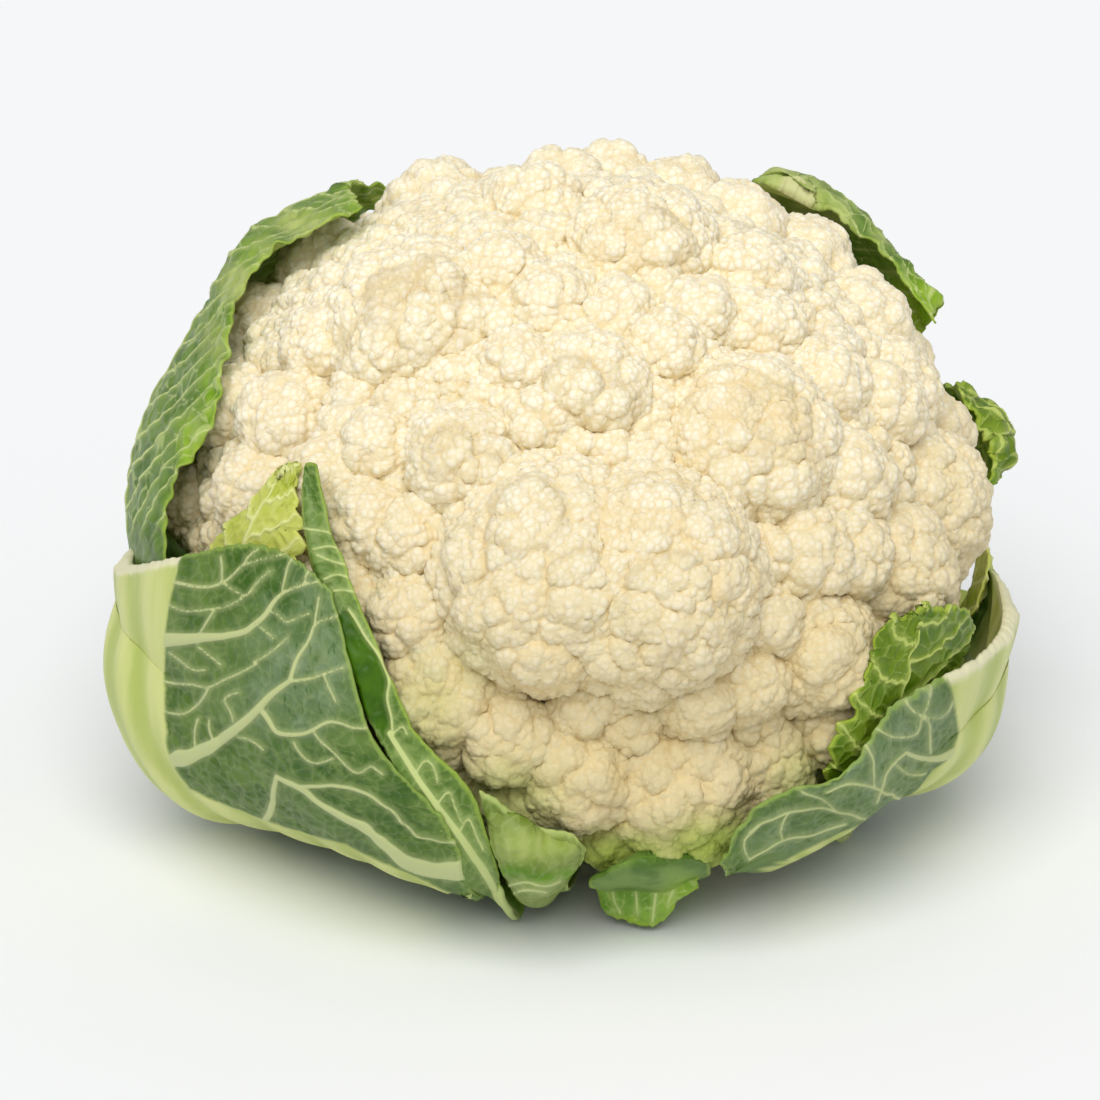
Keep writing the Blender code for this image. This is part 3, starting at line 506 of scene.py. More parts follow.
def curdMaterial():
    look = {part: tint(*colour) for part, colour in curdTints.items()}
    material, tree, principled = shader("curd")
    lobe, bud, grain, gully = (attributeOf(tree, name) for name in ("lobe", "bud", "grain", "gully"))
    # grain flanks are painted a little darker and more golden than grain tops: painted shade
    colour = mixed(tree, rangeOf(tree, grain, 0.2, 0.8), look["flank"], look["top"])
    # the fine valleys between grains, drawn where the grains themselves were made, are painted shade
    cells = tree.nodes.new("ShaderNodeTexVoronoi")
    cells.feature = "DISTANCE_TO_EDGE"
    cells.inputs["Randomness"].default_value = curdLook["cellShake"]
    cells.inputs["Scale"].default_value = 1000 / curdLook["grainSize"]
    tree.links.new(placeAttribute(tree, "grainPlace"), cells.inputs["Vector"])
    valley = cells.outputs["Distance"]
    colour = mixed(tree, rangeOf(tree, valley, 0.0, 0.2, valleyShade["grain"], 0.0), colour, look["deep"])
    # the lower curd is painted darker and more golden: painted shade where less light reaches
    colour = mixed(tree, mathOf(tree, "MULTIPLY", attributeOf(tree, "lowShade"), 0.9), colour, look["low"])
    # the valleys between buds, lobes and florets get painted shade
    colour = mixed(tree, rangeOf(tree, bud, 0.0, 0.45, valleyShade["bud"], 0.0), colour, look["deep"])
    colour = mixed(tree, rangeOf(tree, lobe, 0.0, 0.4, valleyShade["lobe"], 0.0), colour, look["deep"])
    colour = mixed(tree, rangeOf(tree, gully, 0.3, 1.0, 0.0, valleyShade["gully"]), colour, look["deep"])
    patches = rangeOf(tree, noiseOf(tree, 20, 2.0), 0.58, 0.8, 0.0, 0.35)
    colour = mixed(tree, mathOf(tree, "MULTIPLY", patches, lobe), colour, look["tan"])
    colour = mixed(tree, attributeOf(tree, "greenish"), colour, look["green"])
    bump = tree.nodes.new("ShaderNodeBump")
    bump.inputs["Strength"].default_value = 0.7
    bump.inputs["Distance"].default_value = 0.0002
    tree.links.new(rangeOf(tree, valley, -0.25, 0.35), bump.inputs["Height"])
    tree.links.new(bump.outputs[0], principled.inputs["Normal"])
    tree.links.new(colour, principled.inputs["Base Color"])
    principled.inputs["Roughness"].default_value = 0.62
    principled.inputs["Subsurface Weight"].default_value = 0.15
    principled.inputs["Subsurface Radius"].default_value = (1.0, 0.7, 0.35)
    principled.inputs["Subsurface Scale"].default_value = 0.0015
    principled.inputs["Specular IOR Level"].default_value = 0.3
    return material


def stalkMaterial(name):
    looks = {
        "curdStalks": {"pale": tint(226, 222, 172), "deep": tint(186, 194, 118)},
        "cutStem": {"pale": tint(222, 224, 176), "deep": tint(172, 186, 102)},
    }
    look = looks[name]
    material, tree, principled = shader(name)
    colour = mixed(tree, rangeOf(tree, noiseOf(tree, 11, 4.0, 0.6), 0.35, 0.68), look["pale"], look["deep"])
    tree.links.new(colour, principled.inputs["Base Color"])
    principled.inputs["Roughness"].default_value = 0.5
    bump = tree.nodes.new("ShaderNodeBump")
    bump.inputs["Strength"].default_value = 0.4
    bump.inputs["Distance"].default_value = 0.0005
    tree.links.new(noiseOf(tree, 2.2, 4.0), bump.inputs["Height"])
    tree.links.new(bump.outputs[0], principled.inputs["Normal"])
    return material


def shelfSpots(sizes):
    # a place in the unit square for a disc of each size, in rows
    scale = 0.98 / math.sqrt(sum((2.2 * size) ** 2 for size in sizes))
    while True:
        spots, x, y, tall = {}, 0.0, 0.0, 0.0
        for k in sorted(range(len(sizes)), key=lambda k: -sizes[k]):
            wide = 2.1 * sizes[k] * scale
            if x + wide > 1:
                x, y, tall = 0.0, y + tall, 0.0
            spots[k] = (x + wide / 2, y + wide / 2)
            x, tall = x + wide, max(tall, wide)
        if y + tall <= 1:
            return spots, scale
        scale *= 0.97


def coreShell():
    # the curd's inner body, seen only deep between florets and from below
    points, squares = ballNet(46)
    far = formReach(points, 0.0) * 0.80
    far = far * (1 - 0.05 * smooth(-(points @ axis), 0.1, 0.9))
    turn = np.arctan2(points @ frontDown, points @ sideways)
    ribs = 0.5 + 0.5 * np.cos(11 * turn + 2.0 * np.sin(3 * turn))
    far = far + 2.2 * ribs * smooth(-(points @ axis), 0.1, 0.5)
    return middle + points * far[:, None], squares


def spotShare(places, spots):
    share = np.zeros(len(places))
    for across, up, wide, tall, strength in spots:
        away = ((places[:, 0] - across) / wide) ** 2 + ((places[:, 1] - up) / tall) ** 2
        share = np.maximum(share, strength * np.exp(-(away ** 1.5)))
    return share


def makeCurd():
    material = curdMaterial()
    tree = beadTree(material)
    points, squares = coreShell()
    mesh = meshOf("curd_core", points, squares.ravel(), np.full(len(squares), 4))
    mesh.materials.append(stalkMaterial("curdStalks"))
    addPiece("curd_core", mesh, "curd")
    shells = [floretShell(k) for k in range(len(florets))]
    seeds = lattice(curdLook["patches"])
    seeds = seeds @ np.stack((sideways, frontDown, axis))
    outwards = (centres - middle) / lengths(centres - middle)[:, None]
    patchOf = (outwards @ seeds.T).argmax(axis=1)
    total = 0
    for patch in range(len(seeds)):
        group = [shells[k] for k in np.flatnonzero(patchOf == patch) if shells[k]]
        if not group:
            continue
        reaches = [shell["size"] * 2 * lengths(shell["uv"]).max() for shell in group]
        spots, scale = shelfSpots(reaches)
        points, loops, corners, gully, pairs, start = [], [], [], [], [], 0
        for k, shell in enumerate(group):
            points.append(shell["points"])
            gully.append(shell["gully"])
            uv = shell["uv"] * 2 * shell["size"] * scale + spots[k]
            squares, fan = shell["squares"], shell["fan"]
            loops += [(squares + start).ravel(), (fan + start).ravel()]
            corners += [np.full(len(squares), 4), np.full(len(fan), 3)]
            pairs += [uv[squares.ravel()], uv[fan[:, [0, 1, 0]].ravel()]]
            start += len(shell["points"])
        points = np.concatenate(points)
        mesh = meshOf("loose florets", points, np.concatenate(loops), np.concatenate(corners))
        giveUv(mesh, np.concatenate(pairs))
        giveNumbers(mesh, "gully", np.concatenate(gully))
        front = smooth((points - middle) @ nearer, 0, 20)
        giveNumbers(mesh, "greenish", spotShare(lookOf(points), curdGreen) * front)
        # how low each point sits on the curd, for its painted shade
        giveNumbers(mesh, "lowShade", 1 - smooth(points[:, 2], 40, 120))
        settings = {name: curdLook[name] / 1000 for name in beadInputs}
        settings["seed"] = curdLook["seed"] + 10 * patch
        made = runTree(mesh, tree, settings)
        made.name = f"florets_{patch + 1}"
        made.calc_loop_triangles()
        total += len(made.loop_triangles)
        print("florets", patch + 1, len(made.loop_triangles))
        addPiece(f"florets_{patch + 1}", made, "curd")
    print("curd triangles", total)


makeCurd()


# Each leaf's net, close to the solid's: its stalk from the stem (turn about the stem, width, height on it,
# rings, and how far it hangs below the head), then rows of places as seen, from the stalk to the free edge
leaves = {
    "leaf_left": {
        "root": (152, 22, 57, (19, 34, 50), 7.6), "clear": 7.0,
        "rib": (3.0, 1.15, (6, 8, 8.5, 8.5, 8, 6, 3)), "edge": (0.0, 0.5, 0.6, 2.0),
        "rows": (
            ((-52, -36, -36), (-56, -42, -30), (-58, -48, -22), (-58, -52, -14), (-56, -58, -4),
             (-46, -66, 10), (-35, -71, 20), (-21, -75, 22)),
            ((-70, -32, -28), (-74, -38, -20), (-76, -46, -10), (-76, -53, 0), (-70, -60, 12),
             (-56, -66.5, 28), (-40, -70.5, 38), (-22.5, -72.5, 38)),
            ((-81, -26, -26), (-84, -31, -16), (-86, -38, -4), (-85, -44, 8), (-81, -50, 22),
             (-64, -57, 42), (-48, -60, 53), (-28.5, -62, 58)),
            ((-86, -16, -24), (-88, -20, -15), (-90, -25, -4), (-90, -32, 9), (-86, -36, 26),
             (-70, -42, 47), (-54, -47, 58), (-39.5, -50, 63)),
            ((-87, -8, -22), (-88, -11, -14), (-90, -14, -4), (-89, -19, 8), (-85, -22, 26), (-71, -25, 49),
             (-57, -30, 61), (-45.5, -34, 67)),
            ((-86, -3, -20), (-87, -5, -13), (-88, -6, -4), (-87, -9, 7), (-82, -10, 24), (-71, -6.7, 47),
             (-60, -8, 61), (-50, -16, 68)),
        ),
    },
    "leaf_front_left": {
        "root": (107, 8, 54, (19, 34, 50), 4.9), "clear": 4.4,
        "rib": (0.7, 0.6, (2.4, 2.4, 2.6, 3.0, 2.6, 1.8, 1.2, 0.8, 0.5)), "edge": (0.3, 0.5, 0.4, 4.0),
        "rows": (
            ((-19, -70, 18), (-17, -71, 18), (-14, -72, 18), (-11, -73, 18)),
            ((-26, -73.5, 44), (-20.5, -76.5, 42), (-15, -81, 35), (-11.5, -84.5, 30)),
            ((-26.5, -67, 49), (-23, -69, 51), (-19, -70, 52), (-16.5, -72, 52)),
            ((-33, -58, 57), (-30.5, -57.5, 58), (-26, -57, 59), (-22, -57, 59)),
            ((-40.5, -47.5, 61), (-38, -46.5, 62), (-35, -46, 62), (-31.5, -47, 62)),
            ((-46, -35, 64), (-43, -34, 65), (-40, -33.5, 66), (-37.5, -35, 66)),
            ((-51, -22, 65), (-48, -21, 66), (-45, -21, 67), (-43, -23, 67)),
            ((-55, -9, 63), (-52.5, -9.5, 64), (-50, -9.5, 65), (-47.5, -11, 66)),
            ((-56.5, 1, 62), (-54.5, 0.5, 63), (-52.5, 0, 64), (-50.5, -2.5, 65)),
            ((-56, 9, 61), (-55.3, 10, 61), (-54.5, 10.5, 62), (-54, 9.5, 62)),
        ),
    },
    "leaf_inner_left": {
        "root": (158, 10, 51, (19, 34, 52, 68), 2.8), "clear": 2.4,
        "rib": (1.5, 0.7, (2.0, 1.8, 1.5, 1.0, 0.6, 0.3)), "edge": (0.45, 0.3, 0.4, 5.0),
        "rows": (
            ((-74, -34, 28), (-70, -36, 34), (-65, -38, 40), (-60, -40, 44)),
            ((-78, -22, 34), (-72, -24, 44), (-63, -24, 54), (-50, -23, 62)),
            ((-79, -13, 36), (-72, -14, 46), (-63, -14, 56), (-51.5, -13, 62)),
            ((-76, -6, 40), (-70, -5, 49), (-63, -5, 56), (-53.5, -5, 61)),
            ((-69, 1, 47), (-65, 1.5, 52), (-61, 2, 57), (-55.5, 2, 60)),
            ((-62.5, 7.5, 54), (-61, 8, 56), (-58.6, 8, 58), (-56, 8, 59)),
            ((-59, 9.8, 57), (-58.1, 10.4, 58), (-57.2, 10.7, 58), (-56, 11, 59)),
        ),
    },
    "leaf_front_stub": {
        "root": (88, 8, 53, (19, 34, 50), 3.5), "clear": 3.0,
        "rib": (2.0, 1.2, (2.4, 2.4, 2.2, 1.6, 1.0)), "edge": (0.0, 0.2, 0.4, 2.0),
        "rows": (
            ((-13.5, -73.5, 34), (-12, -77, 34), (-8, -79, 34), (-5, -78.5, 34), (-3, -76.5, 34),
             (-1.5, -74.5, 34)),
            ((-14.5, -74, 50), (-12, -76.5, 49), (-9, -78, 49), (-4.5, -77.5, 48), (-1, -75, 47),
             (0.5, -72.5, 46)),
            ((-16, -71, 58), (-14, -73, 60), (-10, -74.5, 60), (-5, -75, 58), (0, -72.5, 56),
             (1.5, -71, 52)),
            ((-18, -65, 62), (-15, -66, 65), (-11, -68, 65), (-6, -70, 63), (0, -69.5, 60),
             (2.2, -69.7, 55)),
            ((-20, -57.5, 62), (-16.5, -59, 63), (-12, -62.5, 62), (-7, -65.5, 60), (-1, -67, 57),
             (2, -69, 53)),
        ),
    },
    "leaf_front_right": {
        "root": (68, 8, 53, (19, 34, 50), 3.5), "clear": 3.0,
        "rib": (2.0, 0.8, (2.4, 2.2, 1.6, 1.0, 0.6)), "edge": (0.4, 0.8, 0.6, 1.5),
        "rows": (
            ((3, -71, 30), (9, -71, 32), (16, -70.5, 33), (22, -70.5, 34), (27, -70.5, 34)),
            ((1.5, -75.2, 36), (8, -74, 39), (15, -73, 41), (22, -72.6, 42), (27.8, -72.6, 42)),
            ((2.5, -78, 35), (9, -79.5, 37), (15.5, -80, 38), (21, -78, 40), (27, -75, 42)),
            ((6, -83.5, 32), (10, -85.2, 32), (16, -86.2, 33), (20, -83, 35), (25.5, -77.5, 41)),
        ),
    },
    "leaf_right": {
        "root": (6, 18, 55, (19, 34, 50), 7), "clear": 5.8, "mirrored": True,
        "rib": (2.0, 1.0, (6, 7.5, 8, 7.5, 5.5, 3)), "edge": (0.3, 0.6, 0.6, 2.5),
        "rows": (
            ((54, -34, -32), (58, -42, -24), (60, -49, -14), (58, -55, 0), (52, -60, 12), (46, -64, 24),
             (38, -68, 33), (31.5, -73, 38)),
            ((70, -32, -24), (74, -40, -16), (75, -48, -4), (71, -55, 12), (62, -60.5, 28), (52, -64.5, 38),
             (42, -68, 43), (31, -74, 42)),
            ((78, -26, -22), (81, -32, -12), (82, -41, 2), (78, -49, 20), (66, -56, 38), (55, -60, 47),
             (43, -64.5, 49), (30.5, -74, 44)),
            ((83, -17, -20), (85.5, -20, -11), (84.5, -29, 3), (79, -40, 21), (66, -49, 42), (56, -56, 51),
             (42, -61, 53), (30, -73.5, 45)),
            ((84, -10, -20), (86, -12, -12), (84, -18, 2), (76.5, -25.5, 22), (62, -45, 47),
             (54, -54.5, 55), (39, -60, 55), (29.6, -73, 46)),
        ),
    },
    "leaf_inner_right": {
        "root": (8, 10, 51, (19, 34, 52, 68), 2.8), "clear": 2.4,
        "rib": (1.6, 0.8, (2.0, 1.8, 1.4, 1.0, 0.6)), "edge": (0.45, 1.0, 0.6, 4.0),
        "rows": (
            ((52, -53, 30), (57, -52, 26), (64, -48, 20), (70, -42, 12)),
            ((51, -51, 50), (56, -51, 45), (64, -48, 36), (71, -44, 26)),
            ((51.5, -45, 53), (58, -45, 49), (67, -42, 38), (75, -38, 24)),
            ((54.5, -38, 53), (61, -37, 49), (70, -33, 38), (78, -30, 22)),
            ((59, -30, 52), (65, -28, 46), (72, -26, 38), (79, -24, 22)),
            ((64, -21.5, 50), (68, -18.5, 46), (73, -18, 38), (79, -18.5, 24)),
        ),
    },
    "leaf_right_rear": {
        "root": (-14, 9, 51, (19, 34, 52, 70), 2.8), "outwards": True, "clear": 2.4,
        "rib": (1.0, 0.7, (2.0, 1.6, 1.2, 0.6)), "edge": (0.3, 0.3, 0.5, 2.0),
        "rows": (
            ((71, -27, -20), (77, -22, -30), (80, -16, -44)),
            ((74, -24, -8), (82, -20, -18), (89, -15, -32)),
            ((75.5, -16, -4), (82, -14.5, -12), (88, -14, -24)),
            ((79, -8, -6), (81.5, -6.4, -11), (84.5, -9, -18)),
        ),
    },
    "leaf_back_left": {
        "root": (196, 16, 56, (19, 34, 52, 70), 7), "outwards": True, "clear": 1.6,
        "rib": (2.0, 0.8, (6, 5, 2.5, 1.0, 0.6, 0.5, 0.4, 0.3)), "edge": (0.3, 0.5, 0.5, 5.0),
        "rows": (
            ((-70, -8, -60), (-80, -14, -44), (-86, -18, -22), (-86, -19, 0), (-83, -19, 22)),
            ((-76, 2, -52), (-86, -3, -32), (-91, -5, -8), (-89.5, -6, 16), (-84.5, -5, 32)),
            ((-76, 15, -46), (-86, 9, -28), (-91, 7, -6), (-88.5, 6, 16), (-82.5, 6, 34)),
            ((-72, 27, -46), (-82, 22, -28), (-88.5, 18, -6), (-85, 16, 18), (-77, 14, 38)),
            ((-62, 41, -46), (-73, 36, -30), (-82, 31, -8), (-79.5, 29, 12), (-72.5, 26, 36)),
            ((-52, 52, -44), (-64, 48, -32), (-74.5, 44, -12), (-74, 42, 4), (-70.5, 41, 24)),
            ((-44, 60, -42), (-55, 58, -32), (-66.5, 57, -16), (-66.5, 55, -4), (-63, 53, 12)),
            ((-38, 65, -38), (-46, 64.5, -30), (-55, 63.5, -18), (-55, 61, -6), (-51.5, 58.5, 18)),
            ((-37, 66, -32), (-41.5, 67.5, -26), (-46, 68, -18), (-45.5, 66, -8), (-43, 63, 16)),
        ),
    },
    "leaf_back_right": {
        "root": (-62, 16, 56, (19, 34, 52, 70), 7), "outwards": True, "clear": 2.6, "mirrored": True,
        "rib": (1.0, 0.8, (6, 6, 6, 5, 4.5, 4)), "edge": (0.3, 0.7, 0.5, 2.0),
        "rows": (
            ((18, 36, -72), (26, 34, -72), (40, 29, -66), (52, 20, -58), (60, 8, -50)),
            ((26, 53, -58), (34, 53, -60), (48, 48, -56), (60, 39, -46), (69, 28, -38)),
            ((32, 61, -42), (40, 62, -45), (51, 60, -42), (64, 50, -32), (74, 39, -22)),
            ((35, 66, -28), (42, 66.5, -31), (53, 65.5, -28), (66, 53.5, -18), (75.5, 42, -12)),
            ((37, 66, -20), (44, 63, -20), (53, 60.5, -18), (65.5, 50, -10), (73.5, 37, -4)),
        ),
    },
    "leaf_right_curl": {
        "root": (-27, 12, 53, (19, 34, 52, 70), 4), "outwards": True, "clear": 2.4,
        "rib": (1.4, 0.7, (3.5, 3, 2.4, 1.4, 0.8)), "edge": (0.35, 0.8, 0.5, 2.5),
        "rows": (
            ((74, -2, -52), (77, 6, -54), (76, 16, -54), (70, 24, -54)),
            ((82, 5, -34), (85, 11, -38), (84, 19, -40), (77, 26, -40)),
            ((84.5, 5, -22), (89.5, 13, -26), (86.5, 20.5, -28), (79, 27, -28)),
            ((84.5, 4, -12), (86, 12, -15), (82, 19.5, -16), (74.5, 27, -16)),
        ),
    },
    "leaf_rear_left": {
        "root": (-128, 14, 60, (19, 34, 52, 70), 9), "outwards": True, "clear": 4.0, "ring": True,
        "rib": (1.5, 0.8, (6, 5, 4, 3)), "edge": (0.3, 0.6, 0.6, 2.0),
        "rows": (
            ((-112, 122, 9), (-123, 123, 10), (-133, 123, 10), (-143, 122, 10)),
            ((-108, 110, 9), (-122, 112, 11), (-134, 112, 11), (-146, 110, 12)),
            ((-109, 100, 10), (-122, 98, 12), (-134, 98, 13), (-143, 100, 13)),
        ),
    },
    "leaf_rear_right": {
        "root": (-94, 14, 56, (19, 34, 52, 70), 7), "outwards": True, "clear": 3.0, "ring": True,
        "rib": (1.5, 0.8, (6, 5, 4, 3)), "edge": (0.3, 0.6, 0.6, 2.0),
        "rows": (
            ((-84, 120, 5), (-91, 121, 6), (-98, 121, 6), (-105, 120, 5)),
            ((-80, 107, 5), (-90, 108, 7), (-99, 108, 7), (-106, 107, 5)),
            ((-82, 97, 6), (-90, 94, 8), (-99, 94, 8), (-105, 97, 6)),
        ),
    },
}


# Veins that the photograph shows, across and up as seen: width at the start and the end, then the places
seenVeins = {
    "leaf_left": (
        (0.9, 0.4, ((-86, -13.8), (-83.3, -14.4), (-77.7, -15.5), (-72.9, -14.7), (-70.8, -13.1),
                    (-68.1, -10.9), (-62.8, -9.4), (-59.8, -8.4))),
        (0.35, 0.25, ((-72.9, -14.7), (-73.1, -12.9), (-73.6, -9.3))),
        (0.4, 0.25, ((-68.1, -10.9), (-67.8, -9.6), (-66.1, -7.8))),
        (0.4, 0.3, ((-72.9, -14.7), (-71.4, -15.7), (-69.8, -16.7), (-68.3, -17.4), (-66.5, -15.5),
                    (-63.2, -12.2))),
        (0.6, 0.3, ((-86, -18.6), (-84.1, -19.3), (-81.7, -20.3), (-76.4, -20.3), (-72.1, -19.5),
                    (-68.8, -17.9))),
        (0.35, 0.25, ((-74.9, -20.5), (-76.1, -22.5), (-77.5, -24.8))),
        (3.6, 1.5, ((-89, -28.5), (-86.3, -26.8), (-82.3, -26.4), (-78, -26.1), (-73.1, -25.8))),
        (1.5, 0.5, ((-73.1, -25.8), (-70.4, -25.3), (-68.4, -24.8), (-66.1, -23.1), (-63.8, -21),
                    (-62.5, -18.8), (-59.8, -16.5), (-56.5, -15.2), (-53.2, -14.4))),
        (0.5, 0.3, ((-60.5, -15.9), (-60, -12.9), (-58.4, -8.6))),
        (0.4, 0.3, ((-63.2, -20.6), (-61.5, -21.3), (-60.2, -22.8), (-57.9, -22.1), (-55.2, -21.1))),
        (0.35, 0.25, ((-66.1, -23.1), (-64.5, -24.3), (-62.5, -26.1))),
        (0.35, 0.25, ((-56.2, -14.8), (-55.2, -11.5), (-54.8, -10.2))),
        (0.35, 0.25, ((-78, -27.8), (-75.7, -29.7), (-73.4, -31.7))),
        (0.35, 0.25, ((-84, -29.1), (-81, -31.4), (-79, -32.7), (-76.7, -32.7))),
        (0.35, 0.3, ((-66.5, -31.1), (-63.5, -29.4), (-59.5, -26.1))),
        (0.65, 0.4, ((-87, -34.2), (-85.5, -34.7), (-83, -35.5), (-79, -35.8), (-75.9, -36.3), (-73.1, -35),
                     (-70.8, -34), (-66, -31.5))),
        (0.6, 0.5, ((-75.9, -36.3), (-77, -38.6), (-79, -40.6), (-81.3, -41.8), (-83.6, -41.9),
                    (-86, -40.4))),
        (4.2, 2.4, ((-88, -53), (-83.6, -51.6), (-79, -50.2), (-74.4, -47.9))),
        (2.4, 1.0, ((-74.4, -47.9), (-70.4, -45), (-66.5, -41.7), (-63.8, -38.7), (-61.5, -36.7),
                    (-58.9, -35))),
        (0.9, 0.45, ((-58.9, -35), (-57.9, -31.4), (-56.9, -29.1), (-54.9, -26.1), (-53.9, -23.5),
                     (-50.9, -22.1), (-47.9, -20.8))),
        (0.45, 0.3, ((-53.9, -23.5), (-53.5, -20.2), (-52.9, -17.5))),
        (0.8, 0.4, ((-58.9, -35), (-54.9, -34.5), (-51.6, -33.4), (-47.9, -32.2))),
        (0.35, 0.25, ((-52.2, -33.7), (-50.9, -36.7), (-49.6, -39.3))),
        (1.1, 0.5, ((-64.8, -41.3), (-63.5, -43.3), (-62.2, -45.3), (-59.2, -46.1), (-55.2, -45.6),
                    (-50.8, -43.5), (-46, -44.6), (-40.9, -44.4))),
        (0.5, 0.4, ((-54.2, -45.3), (-52.2, -47.9), (-49.4, -50.3), (-46.7, -53.4),
                    (-44.3, -54.1), (-42.6, -52.7), (-39.8, -54.4))),
        (0.45, 0.3, ((-58.2, -47.6), (-56.9, -49.9), (-53.9, -52), (-50.1, -51))),
        (0.35, 0.25, ((-69.8, -46.6), (-66.5, -47.6), (-64.5, -49.2))),
        (0.4, 0.25, ((-75, -46.9), (-75.7, -44.3), (-75.7, -43))),
        (0.4, 0.25, ((-78.7, -49.2), (-78.9, -46.9), (-77.9, -43))),
        (0.35, 0.25, ((-70.8, -43.3), (-71.7, -40.7), (-72.7, -39), (-69.8, -37.4))),
        (1.8, 1.0, ((-70, -66.6), (-67, -65.8), (-64.5, -64.2), (-62.9, -61.4), (-62.4, -57.8),
                    (-61.8, -54.8))),
        (0.9, 0.45, ((-61.8, -54.8), (-57, -57), (-52.9, -56.8), (-48.1, -56.7), (-45, -57.5),
                     (-41.2, -59.6),
                     (-37.7, -62.3), (-35, -65.1), (-32.9, -66.8), (-28.8, -67.8), (-24.7, -69.2))),
        (0.9, 2.0, ((-61.8, -54.8), (-59.6, -55.9), (-56.3, -57.7), (-53.6, -59.9),
                    (-50.1, -62.1), (-46.7, -63.9), (-43.3, -65.4), (-41.2, -67.5))),
        (2.0, 4.4, ((-41.2, -67.5), (-38.4, -69.9), (-35.7, -72), (-30.9, -73.8), (-26.1, -74.4),
                    (-19.5, -74.6))),
    ),
    "leaf_right": (
        (0.45, 0.26, ((71.8, -42.4), (69.1, -40), (68.8, -37.3), (70.9, -36.4), (72.9, -36.8),
                      (73.2, -38.4))),
        (0.45, 0.26, ((71.8, -42.4), (74.5, -42.7), (76.9, -41.8), (78.3, -39))),
        (0.39, 0.26, ((71.8, -42.4), (72.9, -43.4), (73.6, -46.3), (73.6, -50))),
        (0.39, 0.26, ((71.8, -42.4), (73.6, -37.3), (74.7, -32.3))),
        (0.45, 0.26, ((71.8, -42.4), (70.2, -46.3), (67.3, -46.7), (65.5, -46.6), (62, -44))),
        (1.69, 0.91, ((81, -47), (78.3, -49.9), (75.8, -51), (72.7, -51.2), (68.6, -49.9))),
        (0.59, 0.26, ((68.6, -49.9), (66.6, -51.4), (64.1, -55.7), (62.5, -60.2))),
        (0.78, 0.45, ((69, -60), (65, -58.4), (62.3, -57.3), (58, -56.4), (52, -58))),
        (0.39, 0.26, ((58.7, -45.8), (60.4, -47.6), (61.4, -49.9), (61.5, -52.5), (62.2, -57.2))),
        (0.33, 0.2, ((66, -52), (70, -54.5), (72.5, -54))),
        (0.59, 0.33, ((60, -63.6), (54, -62), (48, -61.5), (42, -63), (36, -66.5))),
        (0.39, 0.26, ((54, -62), (51, -59.5), (47, -58.2))),
        (0.45, 0.26, ((56, -64.6), (48, -67), (42, -68.5), (36, -72))),
        (0.33, 0.2, ((44, -62.4), (42.5, -65.5), (43, -68))),
        (0.33, 0.2, ((38, -65.3), (35, -69), (36, -72))),
    ),
    "leaf_front_right": (
        (0.45, 0.3, ((7.5, -74.5), (7.5, -79.6), (9, -84))),
        (0.45, 0.3, ((11.8, -74.4), (12.3, -78.2), (12.7, -84.5))),
        (1.0, 0.5, ((19.4, -72.6), (17.5, -75.8), (16.5, -80.6), (16, -86))),
        (0.45, 0.3, ((26, -73.5), (23.5, -75), (20.5, -78.5), (19.5, -82))),
        (0.4, 0.3, ((16.8, -79), (14, -76.5), (13, -74))),
        (0.4, 0.3, ((16.6, -80), (18.5, -78), (21, -75))),
    ),
    "leaf_front_stub": (
        (0.5, 0.3, ((-14.5, -77.5), (-10, -76.8), (-6, -77.4), (-2.8, -76.4))),
        (0.4, 0.3, ((-14, -79.5), (-10.5, -78.3), (-6, -78.8))),
    ),
    "leaf_front_left": (
        (0.5, 0.35, ((-56.5, -3.3), (-55.7, -3.5), (-52.7, -3.9), (-49.7, -4.7))),
        (0.5, 0.35, ((-54.2, -7.7), (-53.1, -7.5), (-51, -7.1), (-48.4, -7.9))),
        (0.5, 0.35, ((-53.5, -8.9), (-51, -10), (-47.8, -11))),
        (0.5, 0.35, ((-52, -14), (-49.3, -13), (-46.6, -13.8))),
        (0.5, 0.35, ((-50.6, -16.4), (-48.6, -16.2), (-45.8, -16.6))),
        (0.6, 0.6, ((-46.9, -20.2), (-45.2, -22.7), (-43.5, -25.7), (-41, -29.1), (-39.4, -32),
                    (-38.5, -35.4), (-38.9, -38), (-38.1, -42.2), (-37.8, -46))),
        (1.1, 1.9, ((-38.4, -45.8), (-35, -51.3), (-30.9, -57.5), (-26.1, -64), (-21.2, -70.9),
                    (-18.2, -75.3), (-15.4, -80.4), (-12.5, -84))),
        (0.35, 0.25, ((-38, -46.5), (-35.5, -44.5), (-34.8, -46))),
        (0.35, 0.25, ((-33, -54.5), (-30.5, -51.5), (-29.5, -52.5), (-28.5, -56))),
        (0.35, 0.25, ((-28.5, -60.5), (-26, -58), (-25, -60.5), (-23.5, -64))),
        (0.35, 0.25, ((-24, -66.5), (-22, -63.5), (-20.5, -67), (-19, -70))),
    ),
}
# Darker wet places as seen: across, up, half the width, half the height, strength
wetSpots = {
    "leaf_left": (
        (-69, -12, 5, 5, 0.9), (-63, -17.5, 6, 4, 0.8), (-58, -12, 5, 3, 0.4), (-66, -22, 5, 2.5, 0.5),
        (-52, -52, 9, 4, 1.0), (-60, -51, 6, 4, 0.8), (-43, -52, 5, 3, 0.6), (-57, -62, 7, 3, 0.6),
        (-67, -60, 7, 4, 0.5), (-56, -23, 4, 5, 0.4), (-48, -59, 15, 6, 0.7), (-60, -66, 12, 4, 0.7),
        (-37, -66, 9, 4, 0.6),
    ),
}
